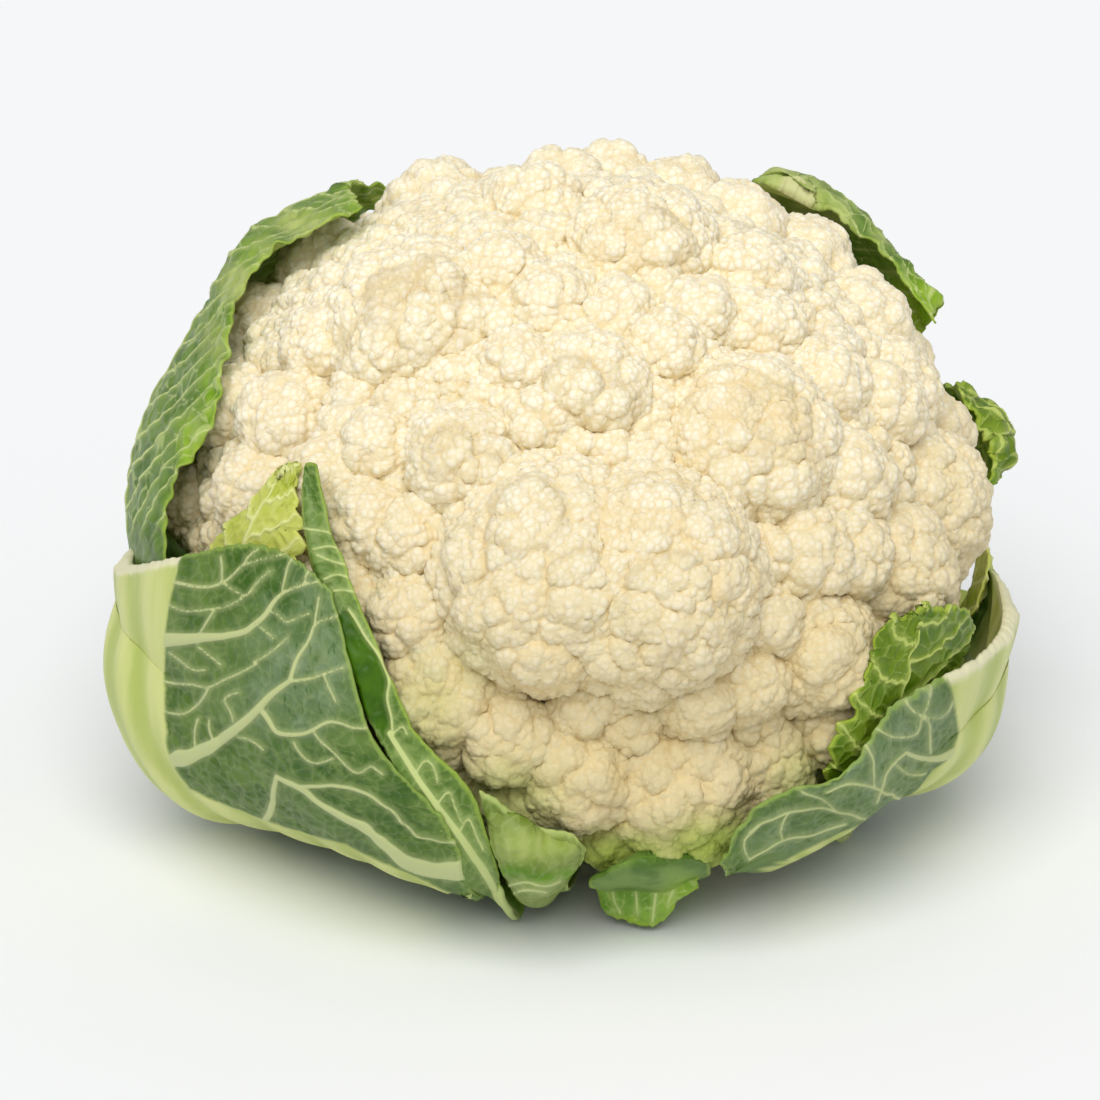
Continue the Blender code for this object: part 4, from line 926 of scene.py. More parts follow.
# Whitish rib and fold bits, and yellow-green places, of the leaves behind and of the folded stub
paleSpots = {
    "leaf_back_left": (
        (-57, 60, 5.5, 2.6, 1.0), (-70, 47.5, 4, 4.2, 0.9), (-75, 36, 3, 5, 0.5), (-64, 54.5, 3, 3, 0.5),
    ),
    "leaf_back_right": (
        (43, 69, 4.5, 4, 1.0), (48, 65, 5.5, 5, 1.0), (53, 61, 4.5, 4.5, 1.0), (64, 59, 3, 4, 0.5),
    ),
    "leaf_right_curl": ((78, 27.5, 6, 2.5, 0.5), (86, 16, 2, 2, 0.5)),
    "leaf_front_stub": ((-8, -69, 9, 3.2, 0.6),),
}
brightSpots = {
    "leaf_back_left": (
        (-79, 12, 3.5, 9, 0.9), (-75.5, 24, 2.5, 8, 0.8), (-72, 37, 3, 5, 0.6), (-66, 52, 4, 5, 0.6),
        (-51, 60, 5, 3, 0.7), (-45, 64.5, 5, 3, 0.7), (-82, -2, 3, 7, 0.7),
    ),
    "leaf_back_right": ((72, 43, 7, 8, 1.0), (37, 70, 3.5, 3, 0.5), (78, 38, 6, 8, 1.0)),
    "leaf_right_curl": ((85, 6, 4, 5, 0.6), (74, 29, 3, 2.5, 0.7)),
    "leaf_front_right": ((9, -85, 9, 2.2, 0.8), (22, -80, 4, 5, 0.6)),
    "leaf_front_stub": ((-13, -74.5, 4, 1.4, 1.0), (-7, -75.9, 5, 1.3, 1.0), (-1, -75.2, 3.5, 1.3, 1.0)),
}
# How wide the cells between small veins are, millimetres, and how pale their veins
netLook = {
    "leaf_back_left": (6.0, 0.5), "leaf_back_right": (5.4, 0.7), "leaf_right_curl": (5.0, 0.65),
    "leaf_inner_right": (3.8, 0.28), "leaf_front_right": (3.4, 0.34), "leaf_front_stub": (2.4, 0.16),
    "leaf_front_left": (2.4, 0.15), "leaf_inner_left": (3.4, 0.25), "leaf_right_rear": (3.4, 0.35),
}
plainNet = (2.8, 0.11)
# The grey bloom on the outer leaves' free halves, its colour partly the waxy bloom and partly painted sheen
bloomSheenSpots = {
    "leaf_left": ((-56, -30, 13, 18, 1.0), (-60, -38, 10, 10, 1.0), (-42, -60, 16, 9, 0.1)),
    "leaf_right": ((60, -52, 16, 12, 0.9), (70, -42, 9, 9, 1.0), (44, -66, 12, 6, 0.7)),
}
# The strip of the folded leaf beside its rib that is painted dark as painted shade: its left and right
# borders, downwards
shadeStrip = {
    "leaf_front_left": (
        ((-47.4, -20.2), (-52, -23.1), (-52, -27), (-50, -31.2), (-48, -35.4), (-44, -41.3), (-39.2, -47.3),
         (-37.5, -50.2)),
        ((-47.2, -20.2), (-45.5, -22.7), (-43.8, -25.7), (-41.3, -29.1), (-39.6, -32), (-38.7, -35.4),
         (-39.2, -38), (-38.3, -42.2), (-37.5, -46), (-37.4, -50.2)),
    ),
}
# Where a stalk ends and the blade begins as seen: which side the stalk is on, then places downwards
stalkEdges = {
    "leaf_left": (-1, ((-82, -4), (-82.5, -12), (-84, -18), (-85, -25), (-85, -42), (-84.3, -51),
                       (-80, -57.5), (-70, -61.8), (-60, -65.4), (-48, -69), (-38, -73.5), (-26, -79))),
    "leaf_right": (1, ((75.3, -24), (75.3, -27), (75.6, -31), (77.6, -35), (78.7, -40), (79.4, -45.4),
                       (78.3, -49.9), (75.4, -53), (71, -57.4), (64.1, -62.4), (56, -66.2), (46, -71),
                       (36, -76), (30, -80))),
}
# How leaves are meshed and modelled, millimetres
leafFinish = {
    "spacing": 0.43, "stalkRows": 26, "sideVeins": 7.5, "thinnest": 0.5,
    "sideVein": ((0, 0), (0.3, 0.12), (0.6, 0.34), (1, 0.72)),
    "veinRise": 0.5, "puff": 0.4, "ridges": 0.5, "bladeThick": 0.8, "leastThick": 0.25,
    "sideTeeth": (2.6, 3.9), "tipTeeth": (3.0, 4.3), "tears": (4.1, 1.7),
    "creases": ((8.0, 0.5), (4.5, 0.35)),
}
# Leaves whose faces are larger, because less of them shows: how far apart their points are, millimetres
coarseLeaves = {
    "leaf_back_left": 0.55, "leaf_back_right": 0.55, "leaf_rear_left": 0.8, "leaf_rear_right": 0.8,
}


def ringPlace(point):
    turn, tilt, lift = math.radians(point[0]), math.radians(point[1]), point[2]
    flat = math.cos(turn) * sideways + math.sin(turn) * frontDown
    return onForm(math.cos(tilt) * axis + math.sin(tilt) * flat, -lift)


def spline(knots, values, at):
    # a natural cubic through values at knots, read at other places
    count = len(knots)
    steps = np.diff(knots)
    system = np.zeros((count, count))
    target = np.zeros(values.shape)
    system[0, 0] = system[-1, -1] = 1
    for i in range(1, count - 1):
        system[i, i - 1:i + 2] = steps[i - 1], 2 * (steps[i - 1] + steps[i]), steps[i]
        target[i] = 6 * ((values[i + 1] - values[i]) / steps[i] - (values[i] - values[i - 1]) / steps[i - 1])
    bend = np.linalg.solve(system, target.reshape(count, -1)).reshape(values.shape)
    spot = np.clip(np.searchsorted(knots, at) - 1, 0, count - 2)
    shape = (-1,) + (1,) * (values.ndim - 1)
    wide = steps[spot].reshape(shape)
    b = ((at - knots[spot]) / steps[spot]).reshape(shape)
    a = 1 - b
    curve = (a**3 - a) * bend[spot] + (b**3 - b) * bend[spot + 1]
    return a * values[spot] + b * values[spot + 1] + curve * wide**2 / 6


def rootRows(turn, wide, seat, rings, count, hang):
    rows = []
    for k, radius in enumerate(rings):
        half = wide / 2 / radius
        low = seat if k == 0 else head["low"] * math.sqrt(1 - (radius / head["wide"]) ** 2) + hang
        angles = math.radians(turn) + np.linspace(half, -half, count)
        rows.append([middle - low * axis + radius * (math.cos(a) * sideways + math.sin(a) * frontDown)
                     for a in angles])
    return rows


def cleared(points, grow, outwards):
    # points inside the grown head slide out of it, along the line of sight where they face the front
    sight = (eye - points) / lengths(eye - points)[..., None]
    spoke = (points - middle) / lengths(points - middle)[..., None]
    share = 0.0 if outwards else np.clip((spoke @ nearer - 0.15) / 0.35, 0, 1)[..., None]
    ray = sight * share + spoke * (1 - share)
    ray /= lengths(ray)[..., None]
    low = np.zeros(points.shape[:-1])
    high = np.full(points.shape[:-1], 130.0)
    for _ in range(26):
        half = (low + high) / 2
        inside = swollen(points + ray * half[..., None], grow) < 1
        low = np.where(inside, half, low)
        high = np.where(inside, high, half)
    needed = np.where(swollen(points, grow) < 1, high, 0.0)
    return points + ray * needed[..., None]


def gridNormals(grid):
    normal = np.cross(np.gradient(grid, axis=1), np.gradient(grid, axis=0))
    normal /= np.maximum(lengths(normal), 1e-9)[..., None]
    return normal * np.sign(((grid - middle) * normal).sum())


def readGrid(grid, rows, columns):
    # the grid's values at places between its points
    i = np.clip(np.floor(rows).astype(int), 0, grid.shape[0] - 2)
    j = np.clip(np.floor(columns).astype(int), 0, grid.shape[1] - 2)
    a, b = rows - i, columns - j
    if grid.ndim == 3:
        a, b = a[..., None], b[..., None]
    return ((grid[i, j] * (1 - a) + grid[i + 1, j] * a) * (1 - b)
            + (grid[i, j + 1] * (1 - a) + grid[i + 1, j + 1] * a) * b)


def ripple(places, size, seed):
    # a soft random relief through space, mostly between -1 and 1
    spread = np.random.default_rng(seed)
    total = np.zeros(places.shape[:-1])
    for _ in range(7):
        way = spread.normal(size=3)
        way *= 2 * math.pi / size * spread.uniform(0.7, 1.4) / np.linalg.norm(way)
        total += np.cos(places @ way + spread.uniform(0, 6.3))
    return total / 3.2


def veinGap(places, veins):
    # millimetres from the side of the nearest vein, less than nothing on the vein
    best = np.full(len(places), 3.0)
    for first, last, line in veins:
        line = np.array(line, float)
        steps = np.concatenate(([0], np.cumsum(lengths(np.diff(line, axis=0)))))
        fine = np.linspace(0, steps[-1], max(6, int(steps[-1] / 1.0)))
        line = spline(steps, line, fine) if len(line) > 2 else np.stack(
            [np.interp(fine, steps, line[:, k]) for k in range(2)], axis=1)
        widths = np.maximum(np.linspace(first, last, len(fine)), leafFinish["thinnest"]) / 2
        low, high = line.min(axis=0) - 4, line.max(axis=0) + 4
        close = np.flatnonzero(((places > low) & (places < high)).all(axis=1))
        inside = places[close]
        found = np.full(len(close), 3.0)
        for k in range(len(line) - 1):
            run = line[k + 1] - line[k]
            share = np.clip(((inside - line[k]) @ run) / max(run @ run, 1e-9), 0, 1)
            away = lengths(inside - line[k] - share[:, None] * run)
            found = np.minimum(found, away - widths[k] - (widths[k + 1] - widths[k]) * share)
        best[close] = np.minimum(best[close], found)
    return best


def netGap(places, cell, seed):
    # small veins: how far each place is from the border between cells about scattered spots
    spread = np.random.default_rng(seed)
    places = places + 0.9 * np.stack([ripple(places, 7.0, seed + k) for k in range(3)], axis=1)
    shuffled = places[spread.permutation(len(places))]
    _, keep = np.unique(np.floor(shuffled / cell).astype(int), axis=0, return_index=True)
    spots = mathutils.kdtree.KDTree(len(keep))
    for k, place in enumerate(shuffled[keep].tolist()):
        spots.insert(place, k)
    spots.balance()
    pairs = (spots.find_n(place, 2) for place in places.tolist())
    return np.array([(far[2] - near[2]) / 2 for near, far in pairs])


def saw(value):
    return np.abs((value % 1.0) - 0.35) / 0.65


# Each leaf's finish, slot, how bare its rib is, how crumpled its blade and how torn its upper end (mm),
# and how much deeper its teeth are than the solid's
leafDress = {
    "leaf_left": ("outerLeaf", "leaf", 1.0, 0.5, 0.5, 1.0),
    "leaf_front_left": ("greyLeaf", "leaf", 0.0, 0.5, 0.0, 1.0),
    "leaf_inner_left": ("youngLeaf", "young_leaf", 0.0, 0.9, 0.9, 4.5),
    "leaf_front_stub": ("paleLeaf", "leaf", 0.0, 0.6, 0.6, 1.0),
    "leaf_front_right": ("greyLeaf", "leaf", 0.0, 0.8, 0.8, 1.8),
    "leaf_right": ("outerLeaf", "leaf", 1.0, 0.9, 0.4, 1.0),
    "leaf_inner_right": ("frillLeaf", "young_leaf", 0.0, 2.0, 0.9, 4.0),
    "leaf_right_rear": ("youngLeaf", "young_leaf", 0.0, 0.8, 0.4, 1.5),
    "leaf_back_left": ("greyLeaf", "leaf", 0.0, 1.2, 0.8, 2.0),
    "leaf_back_right": ("greyLeaf", "leaf", 0.9, 1.3, 0.8, 2.0),
    "leaf_right_curl": ("frillLeaf", "leaf", 0.0, 2.2, 1.4, 3.0),
    "leaf_rear_left": ("outerLeaf", "leaf", 1.0, 1.0, 0.8, 1.5),
    "leaf_rear_right": ("outerLeaf", "leaf", 1.0, 1.0, 0.8, 1.5),
}


def leafSheet(name, number):
    leaf = leaves[name]
    place = ringPlace if leaf.get("ring") else placeOf
    hand = [[place(point) for point in row] for row in leaf["rows"]]
    count = len(hand[0])
    turn, wide, seat, rings, hang = leaf["root"]
    net = np.array(rootRows(turn, wide, seat, rings, count, hang) + hand)
    if leaf.get("mirrored"):
        net[:len(rings)] = net[:len(rings), ::-1]
    down = np.concatenate(([0], np.cumsum(lengths(np.diff(net.mean(axis=1), axis=0)) ** 0.6)))
    widths = lengths(np.diff(net[len(rings):], axis=1)).mean(axis=0)
    across = np.concatenate(([0], np.cumsum(widths)))
    tall = lengths(np.diff(net[len(rings):].mean(axis=1), axis=0)).sum()
    start = down[len(rings)] / down[-1]
    spacing = coarseLeaves.get(name, leafFinish["spacing"])
    rows = np.concatenate((np.linspace(0, start, leafFinish["stalkRows"], endpoint=False),
                           np.linspace(start, 1, max(24, int(tall / spacing)))))
    columns = np.linspace(0, 1, max(16, int(across[-1] / spacing)))
    dense = spline(down, net, rows * down[-1])
    dense = spline(across, dense.transpose(1, 0, 2), columns * across[-1]).transpose(1, 0, 2)
    s, t = rows[:, None] + 0 * columns[None, :], columns[None, :] + 0 * rows[:, None]

    teeth, waves, high, cycles = leaf["edge"]
    frill, tornEnd, toothFactor = leafDress[name][3:]
    teeth *= toothFactor
    shake = np.random.default_rng(number + 40)
    blade = smooth(s, start, start + 0.12)
    first, second = leafFinish["sideTeeth"]
    notch = 0.7 + saw(s * tall / first + shake.uniform()) + 0.8 * np.sin(s * tall / second + 1.0) ** 2
    notch = teeth * 0.9 / max(across[-1], 20) * notch
    first, second = leafFinish["tipTeeth"]
    tip = saw(t * across[-1] / first) + 0.7 * np.sin(t * across[-1] / second) ** 2
    tip = teeth * 1.6 / max(tall, 20) * tip
    first, second = leafFinish["tears"]
    tear = tornEnd / max(tall, 20) * (saw(t * across[-1] / first + 0.3) + saw(t * across[-1] / second))
    tip = tip + tear
    place = (notch + (1 - 2 * notch) * t) * blade + t * (1 - blade)
    depth = np.where(s > start, start + (s - start) * (1 - tip * (1 - start)), s)
    index = np.interp(depth, rows, np.arange(len(rows)))
    grid = readGrid(dense, index, place * (len(columns) - 1))

    ribAt, ribWide, ribs = leaf["rib"]
    knot = np.interp(place, across / across[-1], np.arange(count))
    ribs = np.interp(s, np.linspace(0, 1, len(ribs)), ribs)
    shape = np.exp(-((knot - ribAt) / ribWide) ** 2 * 1.2)
    stalk = np.clip(1 - s * len(net) / (len(rings) + 0.6), 0, 1)
    stalky = np.maximum(shape, 0.55 * stalk)
    thick = leafFinish["bladeThick"] + ribs * stalky

    normal = gridNormals(grid)
    free = np.clip((s - 0.35) / 0.2, 0, 1)
    rim = np.maximum(np.abs(2 * t - 1) ** 4, np.clip((s - 0.8) / 0.2, 0, 1) ** 2)
    wave = np.sin(s * cycles * 2 * math.pi + 3 * t) * high
    grid = grid + normal * (free * rim * (wave + high))[..., None] * waves

    run = np.cumsum(lengths(np.diff(grid, axis=0)), axis=0)
    run = np.concatenate((np.zeros((1, len(columns))), run))
    over = np.cumsum(lengths(np.diff(grid, axis=1)), axis=1)
    over = np.concatenate((np.zeros((len(rows), 1)), over), axis=1)
    ribColumn = int(round(np.interp(ribAt, np.arange(count), across / across[-1]) * (len(columns) - 1)))
    ribOver, ribRun = over[:, ribColumn:ribColumn + 1], run[:, ribColumn:ribColumn + 1]
    flat = np.stack((over - ribOver, ribRun + 0 * over), axis=-1).reshape(-1, 2)
    blank = cleared(grid, leaf["clear"], leaf.get("outwards", False))
    look = lookOf(blank + gridNormals(blank) * thick[..., None])
    bare = leafDress[name][2] * smooth(shape, 0.55, 0.75)
    if name in stalkEdges:
        side, border = stalkEdges[name]
        border = np.array(border, float)
        slope = np.interp(-look[..., 1], -border[:, 1], np.gradient(border[:, 0], border[:, 1]))
        reach = side * (look[..., 0] - np.interp(-look[..., 1], -border[:, 1], border[:, 0]))
        bare = smooth(reach / np.sqrt(1 + slope**2), -0.25, 0.25) * smooth(knot, 0.6, 1.2)
    bare = np.maximum(bare, smooth(stalk, 0.1, 0.3))
    if name in seenVeins:
        gap = veinGap(look.reshape(-1, 2), seenVeins[name])
    else:
        step = leafFinish["sideVeins"]
        veins = []
        for k in range(int(flat[:, 1].max() / step) + 1):
            for side in (-1, 1):
                y = (k + (0.5 if side > 0 else 0.1)) * step
                reach = across[-1] * 0.8
                line = [(side * reach * out, y + reach * up) for out, up in leafFinish["sideVein"]]
                veins.append((0.9, 0.3, line))
        veins.append((1.3, 0.6, ((0, 0), (0, flat[:, 1].max()))))
        gap = veinGap(flat, veins)
    gap = gap.reshape(s.shape) + 3 * (1 - blade)
    cell, netShare = netLook.get(name, plainNet)
    fine = netGap(grid.reshape(-1, 3) * (1, 0.55, 1), cell, number + 5).reshape(s.shape) + 3 * (1 - blade)
    edge = np.minimum.reduce((over, over[:, -1:] - over, run[-1:] - run))
    thick = thick * (0.55 + 0.45 * smooth(edge, 0, 1.2))

    (wide, high), (narrow, low) = leafFinish["creases"]
    crease = ripple(grid, wide, number + 70) * high + ripple(grid, narrow, number + 80) * low
    grid = grid + gridNormals(grid) * (frill * crease * (1 - bare) * blade * (0.45 + 0.55 * rim))[..., None]
    grid = cleared(grid, leaf["clear"], leaf.get("outwards", False))
    grid[..., 2] = np.maximum(grid[..., 2], thick + 0.05)
    normal = gridNormals(grid)
    ridge = 0.5 + 0.5 * np.cos((knot - ribAt) * 2 * math.pi / 0.62 + 0.5)
    leafy = blade * (1 - bare)
    raised = smooth(-gap, -0.3, 0.6) * leafy
    swell = smooth(np.minimum(fine, gap), 0.1, 1.0) * leafy
    inner = grid - normal * (leafFinish["puff"] * swell)[..., None] * 0.5
    rise = thick + leafFinish["veinRise"] * raised - leafFinish["puff"] * swell
    rise += leafFinish["ridges"] * (ridge - 0.5) * bare * blade
    rise = rise * (1 - 0.25 * bare * (1 - smooth(run[-1:] - run, 0.0, 1.5)))
    outer = grid + normal * np.maximum(rise, leafFinish["leastThick"])[..., None]
    outer[..., 2] = np.maximum(outer[..., 2], 0.0)
    look = lookOf(outer.reshape(-1, 3))
    wet = spotShare(look, wetSpots.get(name, ())).reshape(s.shape)
    bloomSheen = spotShare(look, bloomSheenSpots.get(name, ())).reshape(s.shape)
    pale = spotShare(look, paleSpots.get(name, ())).reshape(s.shape)
    bright = spotShare(look, brightSpots.get(name, ())).reshape(s.shape)
    strip = np.zeros(s.shape)
    # the painted shade strip beside the rib of the folded leaf
    if name in shadeStrip:
        leftSide, rightSide = (np.array(line, float) for line in shadeStrip[name])
        up = look[:, 1]
        first = np.interp(-up, -leftSide[:, 1], leftSide[:, 0])
        last = np.interp(-up, -rightSide[:, 1], rightSide[:, 0])
        strip = np.minimum(smooth(last - look[:, 0], -0.2, 0.2), smooth(look[:, 0] - first, -0.2, 0.2))
        strip = (strip * smooth(up, -50, -48) * smooth(-up, 20, 20.6)).reshape(s.shape)
    marks = {"gap": gap, "fine": fine, "stalk": bare, "brim": 1 - smooth(edge, 0.2, 1.4), "wet": wet,
             "bloomSheen": bloomSheen, "strip": strip, "ridge": ridge, "pale": pale, "bright": bright,
             "net": np.full(s.shape, netShare),
             "cut": bare * (1 - smooth(run[-1:] - run, 1.0, 2.2)) * blade}
    return inner, outer, s, t, marks


def leafMesh(name, inner, outer, s, t, marks):
    rows, columns = s.shape
    total = rows * columns
    points = np.concatenate((inner.reshape(-1, 3), outer.reshape(-1, 3)))
    a = (np.arange(rows - 1)[:, None] * columns + np.arange(columns - 1)[None, :]).ravel()
    square = np.stack((a, a + 1, a + columns + 1, a + columns), axis=1)
    first = points[square[:, 0]]
    normals = np.cross(points[square[:, 1]] - first, points[square[:, 3]] - first)
    outwards = (normals * (first - middle)).sum() > 0
    if not outwards:
        square = square[:, ::-1]
    i, j = np.arange(rows), np.arange(columns)
    around = np.concatenate((j[:-1], i[:-1] * columns + columns - 1,
                             total - 1 - j[:-1], (rows - 1 - i[:-1]) * columns))
    after = np.roll(around, -1)
    rim = np.stack((around, after, after + total, around + total), axis=1)
    if not outwards:
        rim = rim[:, ::-1]
    squares = np.concatenate((square[:, ::-1], square + total, rim))
    u, v = t.ravel(), s.ravel()
    pairs = np.concatenate((np.stack((0.015 + 0.46 * u, 0.01 + 0.98 * v), axis=1),
                            np.stack((0.525 + 0.46 * u, 0.01 + 0.98 * v), axis=1)))
    way = np.linspace(0.01, 0.99, len(around) + 1)
    corners = ((0.49, way[:-1]), (0.49, way[1:]), (0.51, way[1:]), (0.51, way[:-1]))
    strip = np.stack([np.stack((x + 0 * y, y), axis=1) for x, y in corners], axis=1)
    if not outwards:
        strip = strip[:, ::-1]
    mesh = meshOf(name, points, squares.ravel(), np.full(len(squares), 4))
    giveUv(mesh, np.concatenate((pairs[squares[:2 * len(square)].ravel()], strip.reshape(-1, 2))))
    for label, values in marks.items():
        giveNumbers(mesh, label, np.concatenate((values.ravel(), values.ravel())))
    giveNumbers(mesh, "outer", np.concatenate((np.zeros(total), np.ones(total))))
    return mesh


# Screen colours of each leaf finish: outer and inner face, wet places, bloom with painted sheen, veins,
# stalk, cut end, edge and fresh green; the grey finish's inner face is painted lighter, as painted light
# through the leaf
leafLooks = {
    "outerLeaf": {
        "outer": (94, 122, 50), "outerDark": (66, 98, 28), "wet": (46, 86, 8), "bloomSheen": (120, 141, 104),
        "inner": (96, 130, 44), "innerDark": (64, 100, 24), "vein": (192, 200, 140),
        "stalk": (208, 214, 138), "stalkDeep": (176, 190, 98), "cut": (226, 222, 184),
        "edge": (150, 174, 84), "bright": (150, 180, 56), "brightDeep": (118, 156, 24),
    },
    "greyLeaf": {
        "outer": (112, 140, 66), "outerDark": (78, 110, 36), "wet": (52, 84, 24),
        "bloomSheen": (142, 162, 118), "inner": (132, 168, 66), "innerDark": (98, 142, 36),
        "vein": (196, 208, 136), "stalk": (186, 198, 118), "stalkDeep": (158, 176, 84),
        "cut": (206, 206, 150), "edge": (156, 180, 70), "bright": (154, 186, 52),
        "brightDeep": (120, 160, 22),
    },
    "paleLeaf": {
        "outer": (128, 146, 70), "outerDark": (106, 130, 44), "wet": (84, 118, 24),
        "bloomSheen": (160, 178, 112), "inner": (146, 166, 88), "innerDark": (116, 144, 54),
        "vein": (196, 206, 140), "stalk": (186, 198, 118), "stalkDeep": (158, 176, 84),
        "cut": (196, 202, 140), "edge": (186, 200, 122), "bright": (104, 146, 20),
        "brightDeep": (84, 128, 12),
    },
    "youngLeaf": {
        "outer": (192, 197, 94), "outerDark": (166, 180, 56), "wet": (120, 148, 30),
        "bloomSheen": (196, 204, 128), "inner": (186, 196, 92), "innerDark": (150, 172, 52),
        "vein": (218, 222, 148), "stalk": (212, 214, 132), "stalkDeep": (188, 196, 98),
        "cut": (206, 210, 130), "edge": (210, 216, 110), "bright": (190, 204, 70),
        "brightDeep": (170, 190, 50),
    },
    "frillLeaf": {
        "outer": (108, 134, 30), "outerDark": (78, 110, 4), "wet": (70, 104, 10), "bloomSheen": (150, 166, 90),
        "inner": (104, 140, 24), "innerDark": (70, 108, 8), "vein": (184, 198, 104),
        "stalk": (170, 188, 86), "stalkDeep": (140, 166, 56), "cut": (172, 190, 78),
        "edge": (172, 192, 70), "bright": (150, 180, 56), "brightDeep": (118, 156, 24),
    },
}
stripShadeTints = ((66, 106, 2), (46, 84, 1))


def stretchedNoise(tree, wide, tall, detail):
    place = tree.nodes.new("ShaderNodeTexCoord")
    fit = tree.nodes.new("ShaderNodeMapping")
    fit.inputs["Scale"].default_value = (1000 / wide, 1000 / wide, 1000 / tall)
    fit.inputs["Rotation"].default_value = (0.35, 0.25, 0.0)
    node = tree.nodes.new("ShaderNodeTexNoise")
    node.inputs["Scale"].default_value = 1.0
    node.inputs["Detail"].default_value = detail
    tree.links.new(place.outputs["Object"], fit.inputs["Vector"])
    tree.links.new(fit.outputs[0], node.inputs["Vector"])
    return node.outputs["Fac"]


# How wide the leaves' mottling, haze, drops and skin are, millimetres
leafGrain = {"mottle": 9, "haze": 5, "drops": 3.5, "skin": 1.6}


def leafMaterial(name):
    look = {part: tint(*colour) for part, colour in leafLooks[name].items()}
    material, tree, principled = shader(name)
    marks = {label: attributeOf(tree, label) for label in
             ("outer", "gap", "fine", "net", "stalk", "brim", "wet", "bloomSheen", "strip", "ridge", "cut",
              "pale", "bright")}
    mottle = rangeOf(tree, noiseOf(tree, leafGrain["mottle"], 4.0, 0.6), 0.4, 0.66)
    face = mixed(tree, mottle, look["outer"], look["outerDark"])
    haze = rangeOf(tree, noiseOf(tree, leafGrain["haze"], 3.0, 0.6), 0.3, 0.62, 1.0, 0.4)
    # the bloom is partly the leaf's waxy bloom and partly painted sheen
    face = mixed(tree, mathOf(tree, "MULTIPLY", marks["bloomSheen"], haze), face, look["bloomSheen"])
    dashes = rangeOf(tree, stretchedNoise(tree, 1.1, 3.4, 2.0), 0.6, 0.68, 0.0, 0.5)
    dashes = mathOf(tree, "MULTIPLY", dashes, mathOf(tree, "ADD", marks["bloomSheen"], 0.1))
    face = mixed(tree, dashes, face, look["wet"])
    drops = rangeOf(tree, noiseOf(tree, leafGrain["drops"], 4.0, 0.65), 0.36, 0.6)
    wetness = mathOf(tree, "MULTIPLY", marks["wet"], drops)
    face = mixed(tree, wetness, face, look["wet"])
    # the grey finish's inner face colours are painted lighter: painted light standing in for light through
    # the leaf
    back = mixed(tree, mottle, look["inner"], look["innerDark"])
    colour = mixed(tree, marks["outer"], back, face)
    fresh = mixed(tree, mottle, look["bright"], look["brightDeep"])
    colour = mixed(tree, marks["bright"], colour, fresh)
    thin = mathOf(tree, "MULTIPLY", rangeOf(tree, marks["fine"], 0.04, 0.24, 1.0, 0.0), marks["net"])
    colour = mixed(tree, thin, colour, look["vein"])
    colour = mixed(tree, rangeOf(tree, marks["brim"], 0.2, 1.0, 0.0, 0.6), colour, look["edge"])
    # the strip beside the folded leaf's rib is painted shade
    dark = mixed(tree, mottle, *(tint(*colour) for colour in stripShadeTints))
    colour = mixed(tree, marks["strip"], colour, dark)
    halo = rangeOf(tree, marks["gap"], 0.0, 1.1, 0.22, 0.0)
    colour = mixed(tree, halo, colour, look["vein"])
    colour = mixed(tree, rangeOf(tree, marks["gap"], -0.22, 0.12, 0.95, 0.0), colour, look["vein"])
    # the stalk is painted paler on its ridges and darker in its grooves, a painted highlight and shade,
    # mixed with its own streaks
    flow = mathOf(tree, "ADD", mathOf(tree, "MULTIPLY", marks["ridge"], 0.4),
                  mathOf(tree, "MULTIPLY", stretchedNoise(tree, 5, 40, 3.0), 0.6))
    green = mixed(tree, rangeOf(tree, flow, 0.2, 0.8), look["stalkDeep"], look["stalk"])
    colour = mixed(tree, mathOf(tree, "MAXIMUM", marks["stalk"], marks["pale"]), colour, green)
    colour = mixed(tree, marks["cut"], colour, look["cut"])
    tree.links.new(colour, principled.inputs["Base Color"])
    rough = mathOf(tree, "SUBTRACT", 0.42, mathOf(tree, "MULTIPLY", wetness, 0.18))
    rough = mathOf(tree, "ADD", rough, mathOf(tree, "MULTIPLY", marks["bloomSheen"], 0.1))
    tree.links.new(rough, principled.inputs["Roughness"])
    bump = tree.nodes.new("ShaderNodeBump")
    bump.inputs["Strength"].default_value = 0.3
    bump.inputs["Distance"].default_value = 0.0003
    tree.links.new(noiseOf(tree, leafGrain["skin"], 3.0), bump.inputs["Height"])
    tree.links.new(bump.outputs[0], principled.inputs["Normal"])
    principled.inputs["Specular IOR Level"].default_value = 0.22
    principled.inputs["Subsurface Weight"].default_value = 0.08
    principled.inputs["Subsurface Radius"].default_value = (0.5, 0.9, 0.2)
    principled.inputs["Subsurface Scale"].default_value = 0.002
    return material


def makeLeaves():
    materials = {name: leafMaterial(name) for name in leafLooks}
    for number, (name, (look, slot, *_)) in enumerate(leafDress.items()):
        inner, outer, s, t, marks = leafSheet(name, number)
        mesh = leafMesh(name, inner, outer, s, t, marks)
        addPiece(name.replace("leaf_", "blade_"), mesh, name, materials[look])
        print("leaf", name, s.shape, "triangles", 4 * s.size)


makeLeaves()


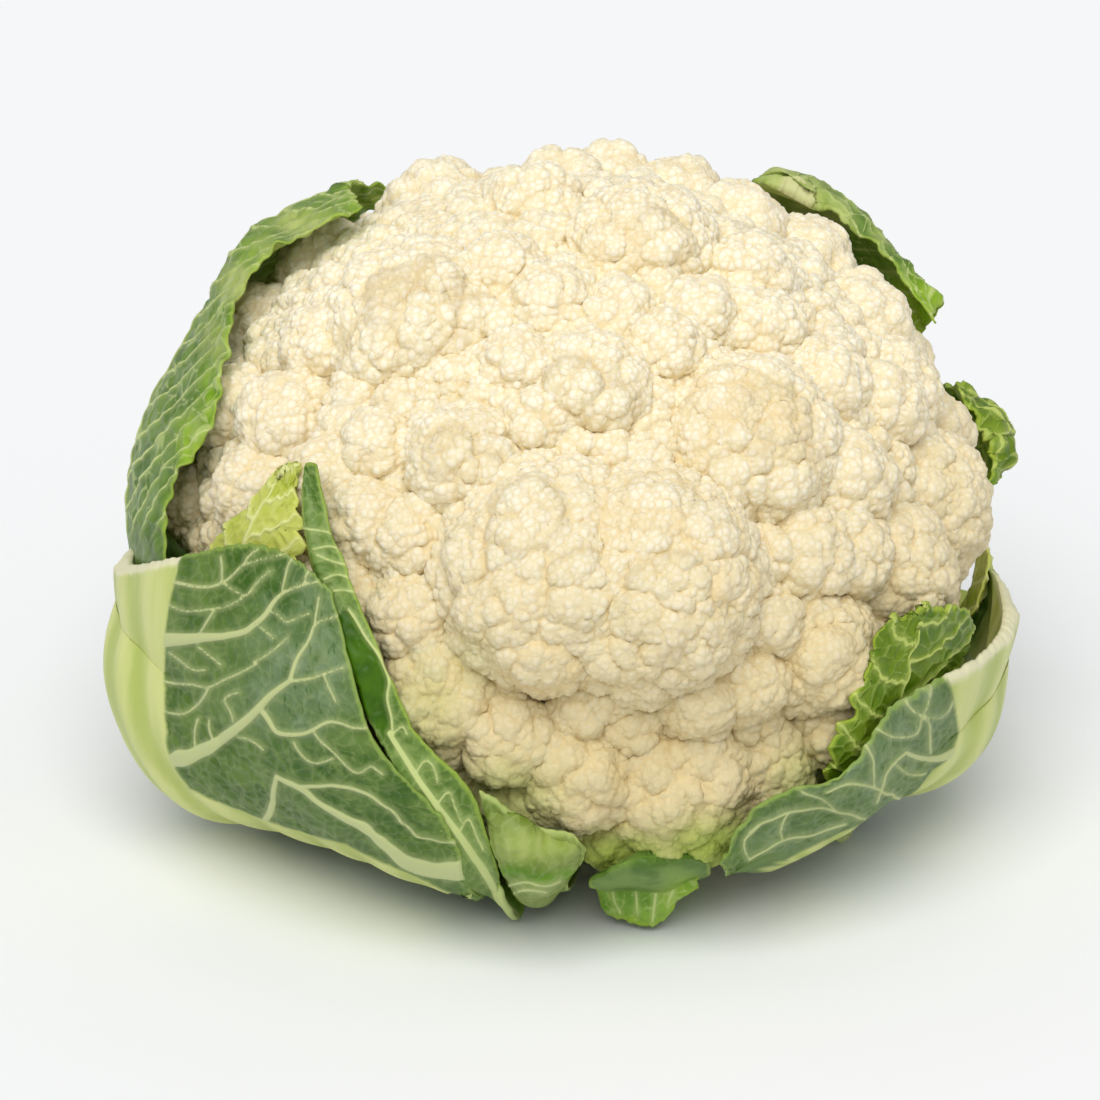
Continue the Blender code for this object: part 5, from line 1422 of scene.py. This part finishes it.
def dressKept():
    # the solids that keep their own shape get real finishes
    finish = stalkMaterial("cutStem")
    for name in ("stem", "stub_right"):
        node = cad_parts[name]
        node.data.materials.clear()
        node.data.materials.append(finish)


dressKept()


# The floor, the sky's light and one very wide lamp, in front of the head, above it and a little to the left
studio = {
    "floor": (246, 247, 249), "floorSize": 6, "sky": (0.96, 0.98, 1.0, 1.0), "skyLight": 0.44,
    "lampWidth": 50, "lampLight": 2.26, "lampTint": (1.0, 0.985, 0.96), "lampAim": (0.10, 0.7, -1.0),
}


def setStage():
    bpy.ops.mesh.primitive_plane_add(size=studio["floorSize"], location=(0, 0, 0))
    floor = bpy.context.object
    floor.name = "floor"
    material, _, principled = shader("paper floor")
    principled.inputs["Base Color"].default_value = tint(*studio["floor"])
    principled.inputs["Roughness"].default_value = 0.9
    principled.inputs["Specular IOR Level"].default_value = 0.1
    floor.data.materials.append(material)
    world = bpy.data.worlds.new("studio")
    bpy.context.scene.world = world
    world.use_nodes = True
    sky = world.node_tree.nodes["Background"]
    sky.inputs[0].default_value = studio["sky"]
    sky.inputs[1].default_value = studio["skyLight"]
    bpy.context.scene.view_settings.view_transform = "Standard"
    data = bpy.data.lights.new("softbox", "SUN")
    data.angle = math.radians(studio["lampWidth"])
    data.energy = studio["lampLight"]
    data.color = studio["lampTint"]
    lamp = bpy.data.objects.new("softbox", data)
    bpy.context.scene.collection.objects.link(lamp)
    aim = mathutils.Vector(studio["lampAim"])
    lamp.matrix_world = aim.to_track_quat("-Z", "Y").to_matrix().to_4x4()


setStage()


# The camera stands where the photograph was taken
def placeCamera():
    data = bpy.data.cameras.new("camera")
    data.lens = seen["lens"]
    data.sensor_width = 36.0
    camera = bpy.data.objects.new("camera", data)
    bpy.context.scene.collection.objects.link(camera)
    matrix = np.eye(4)
    matrix[:3, 0], matrix[:3, 1], matrix[:3, 2], matrix[:3, 3] = right, upward, nearer, eye / 1000
    camera.matrix_world = mathutils.Matrix(matrix.tolist())
    bpy.context.scene.camera = camera


placeCamera()
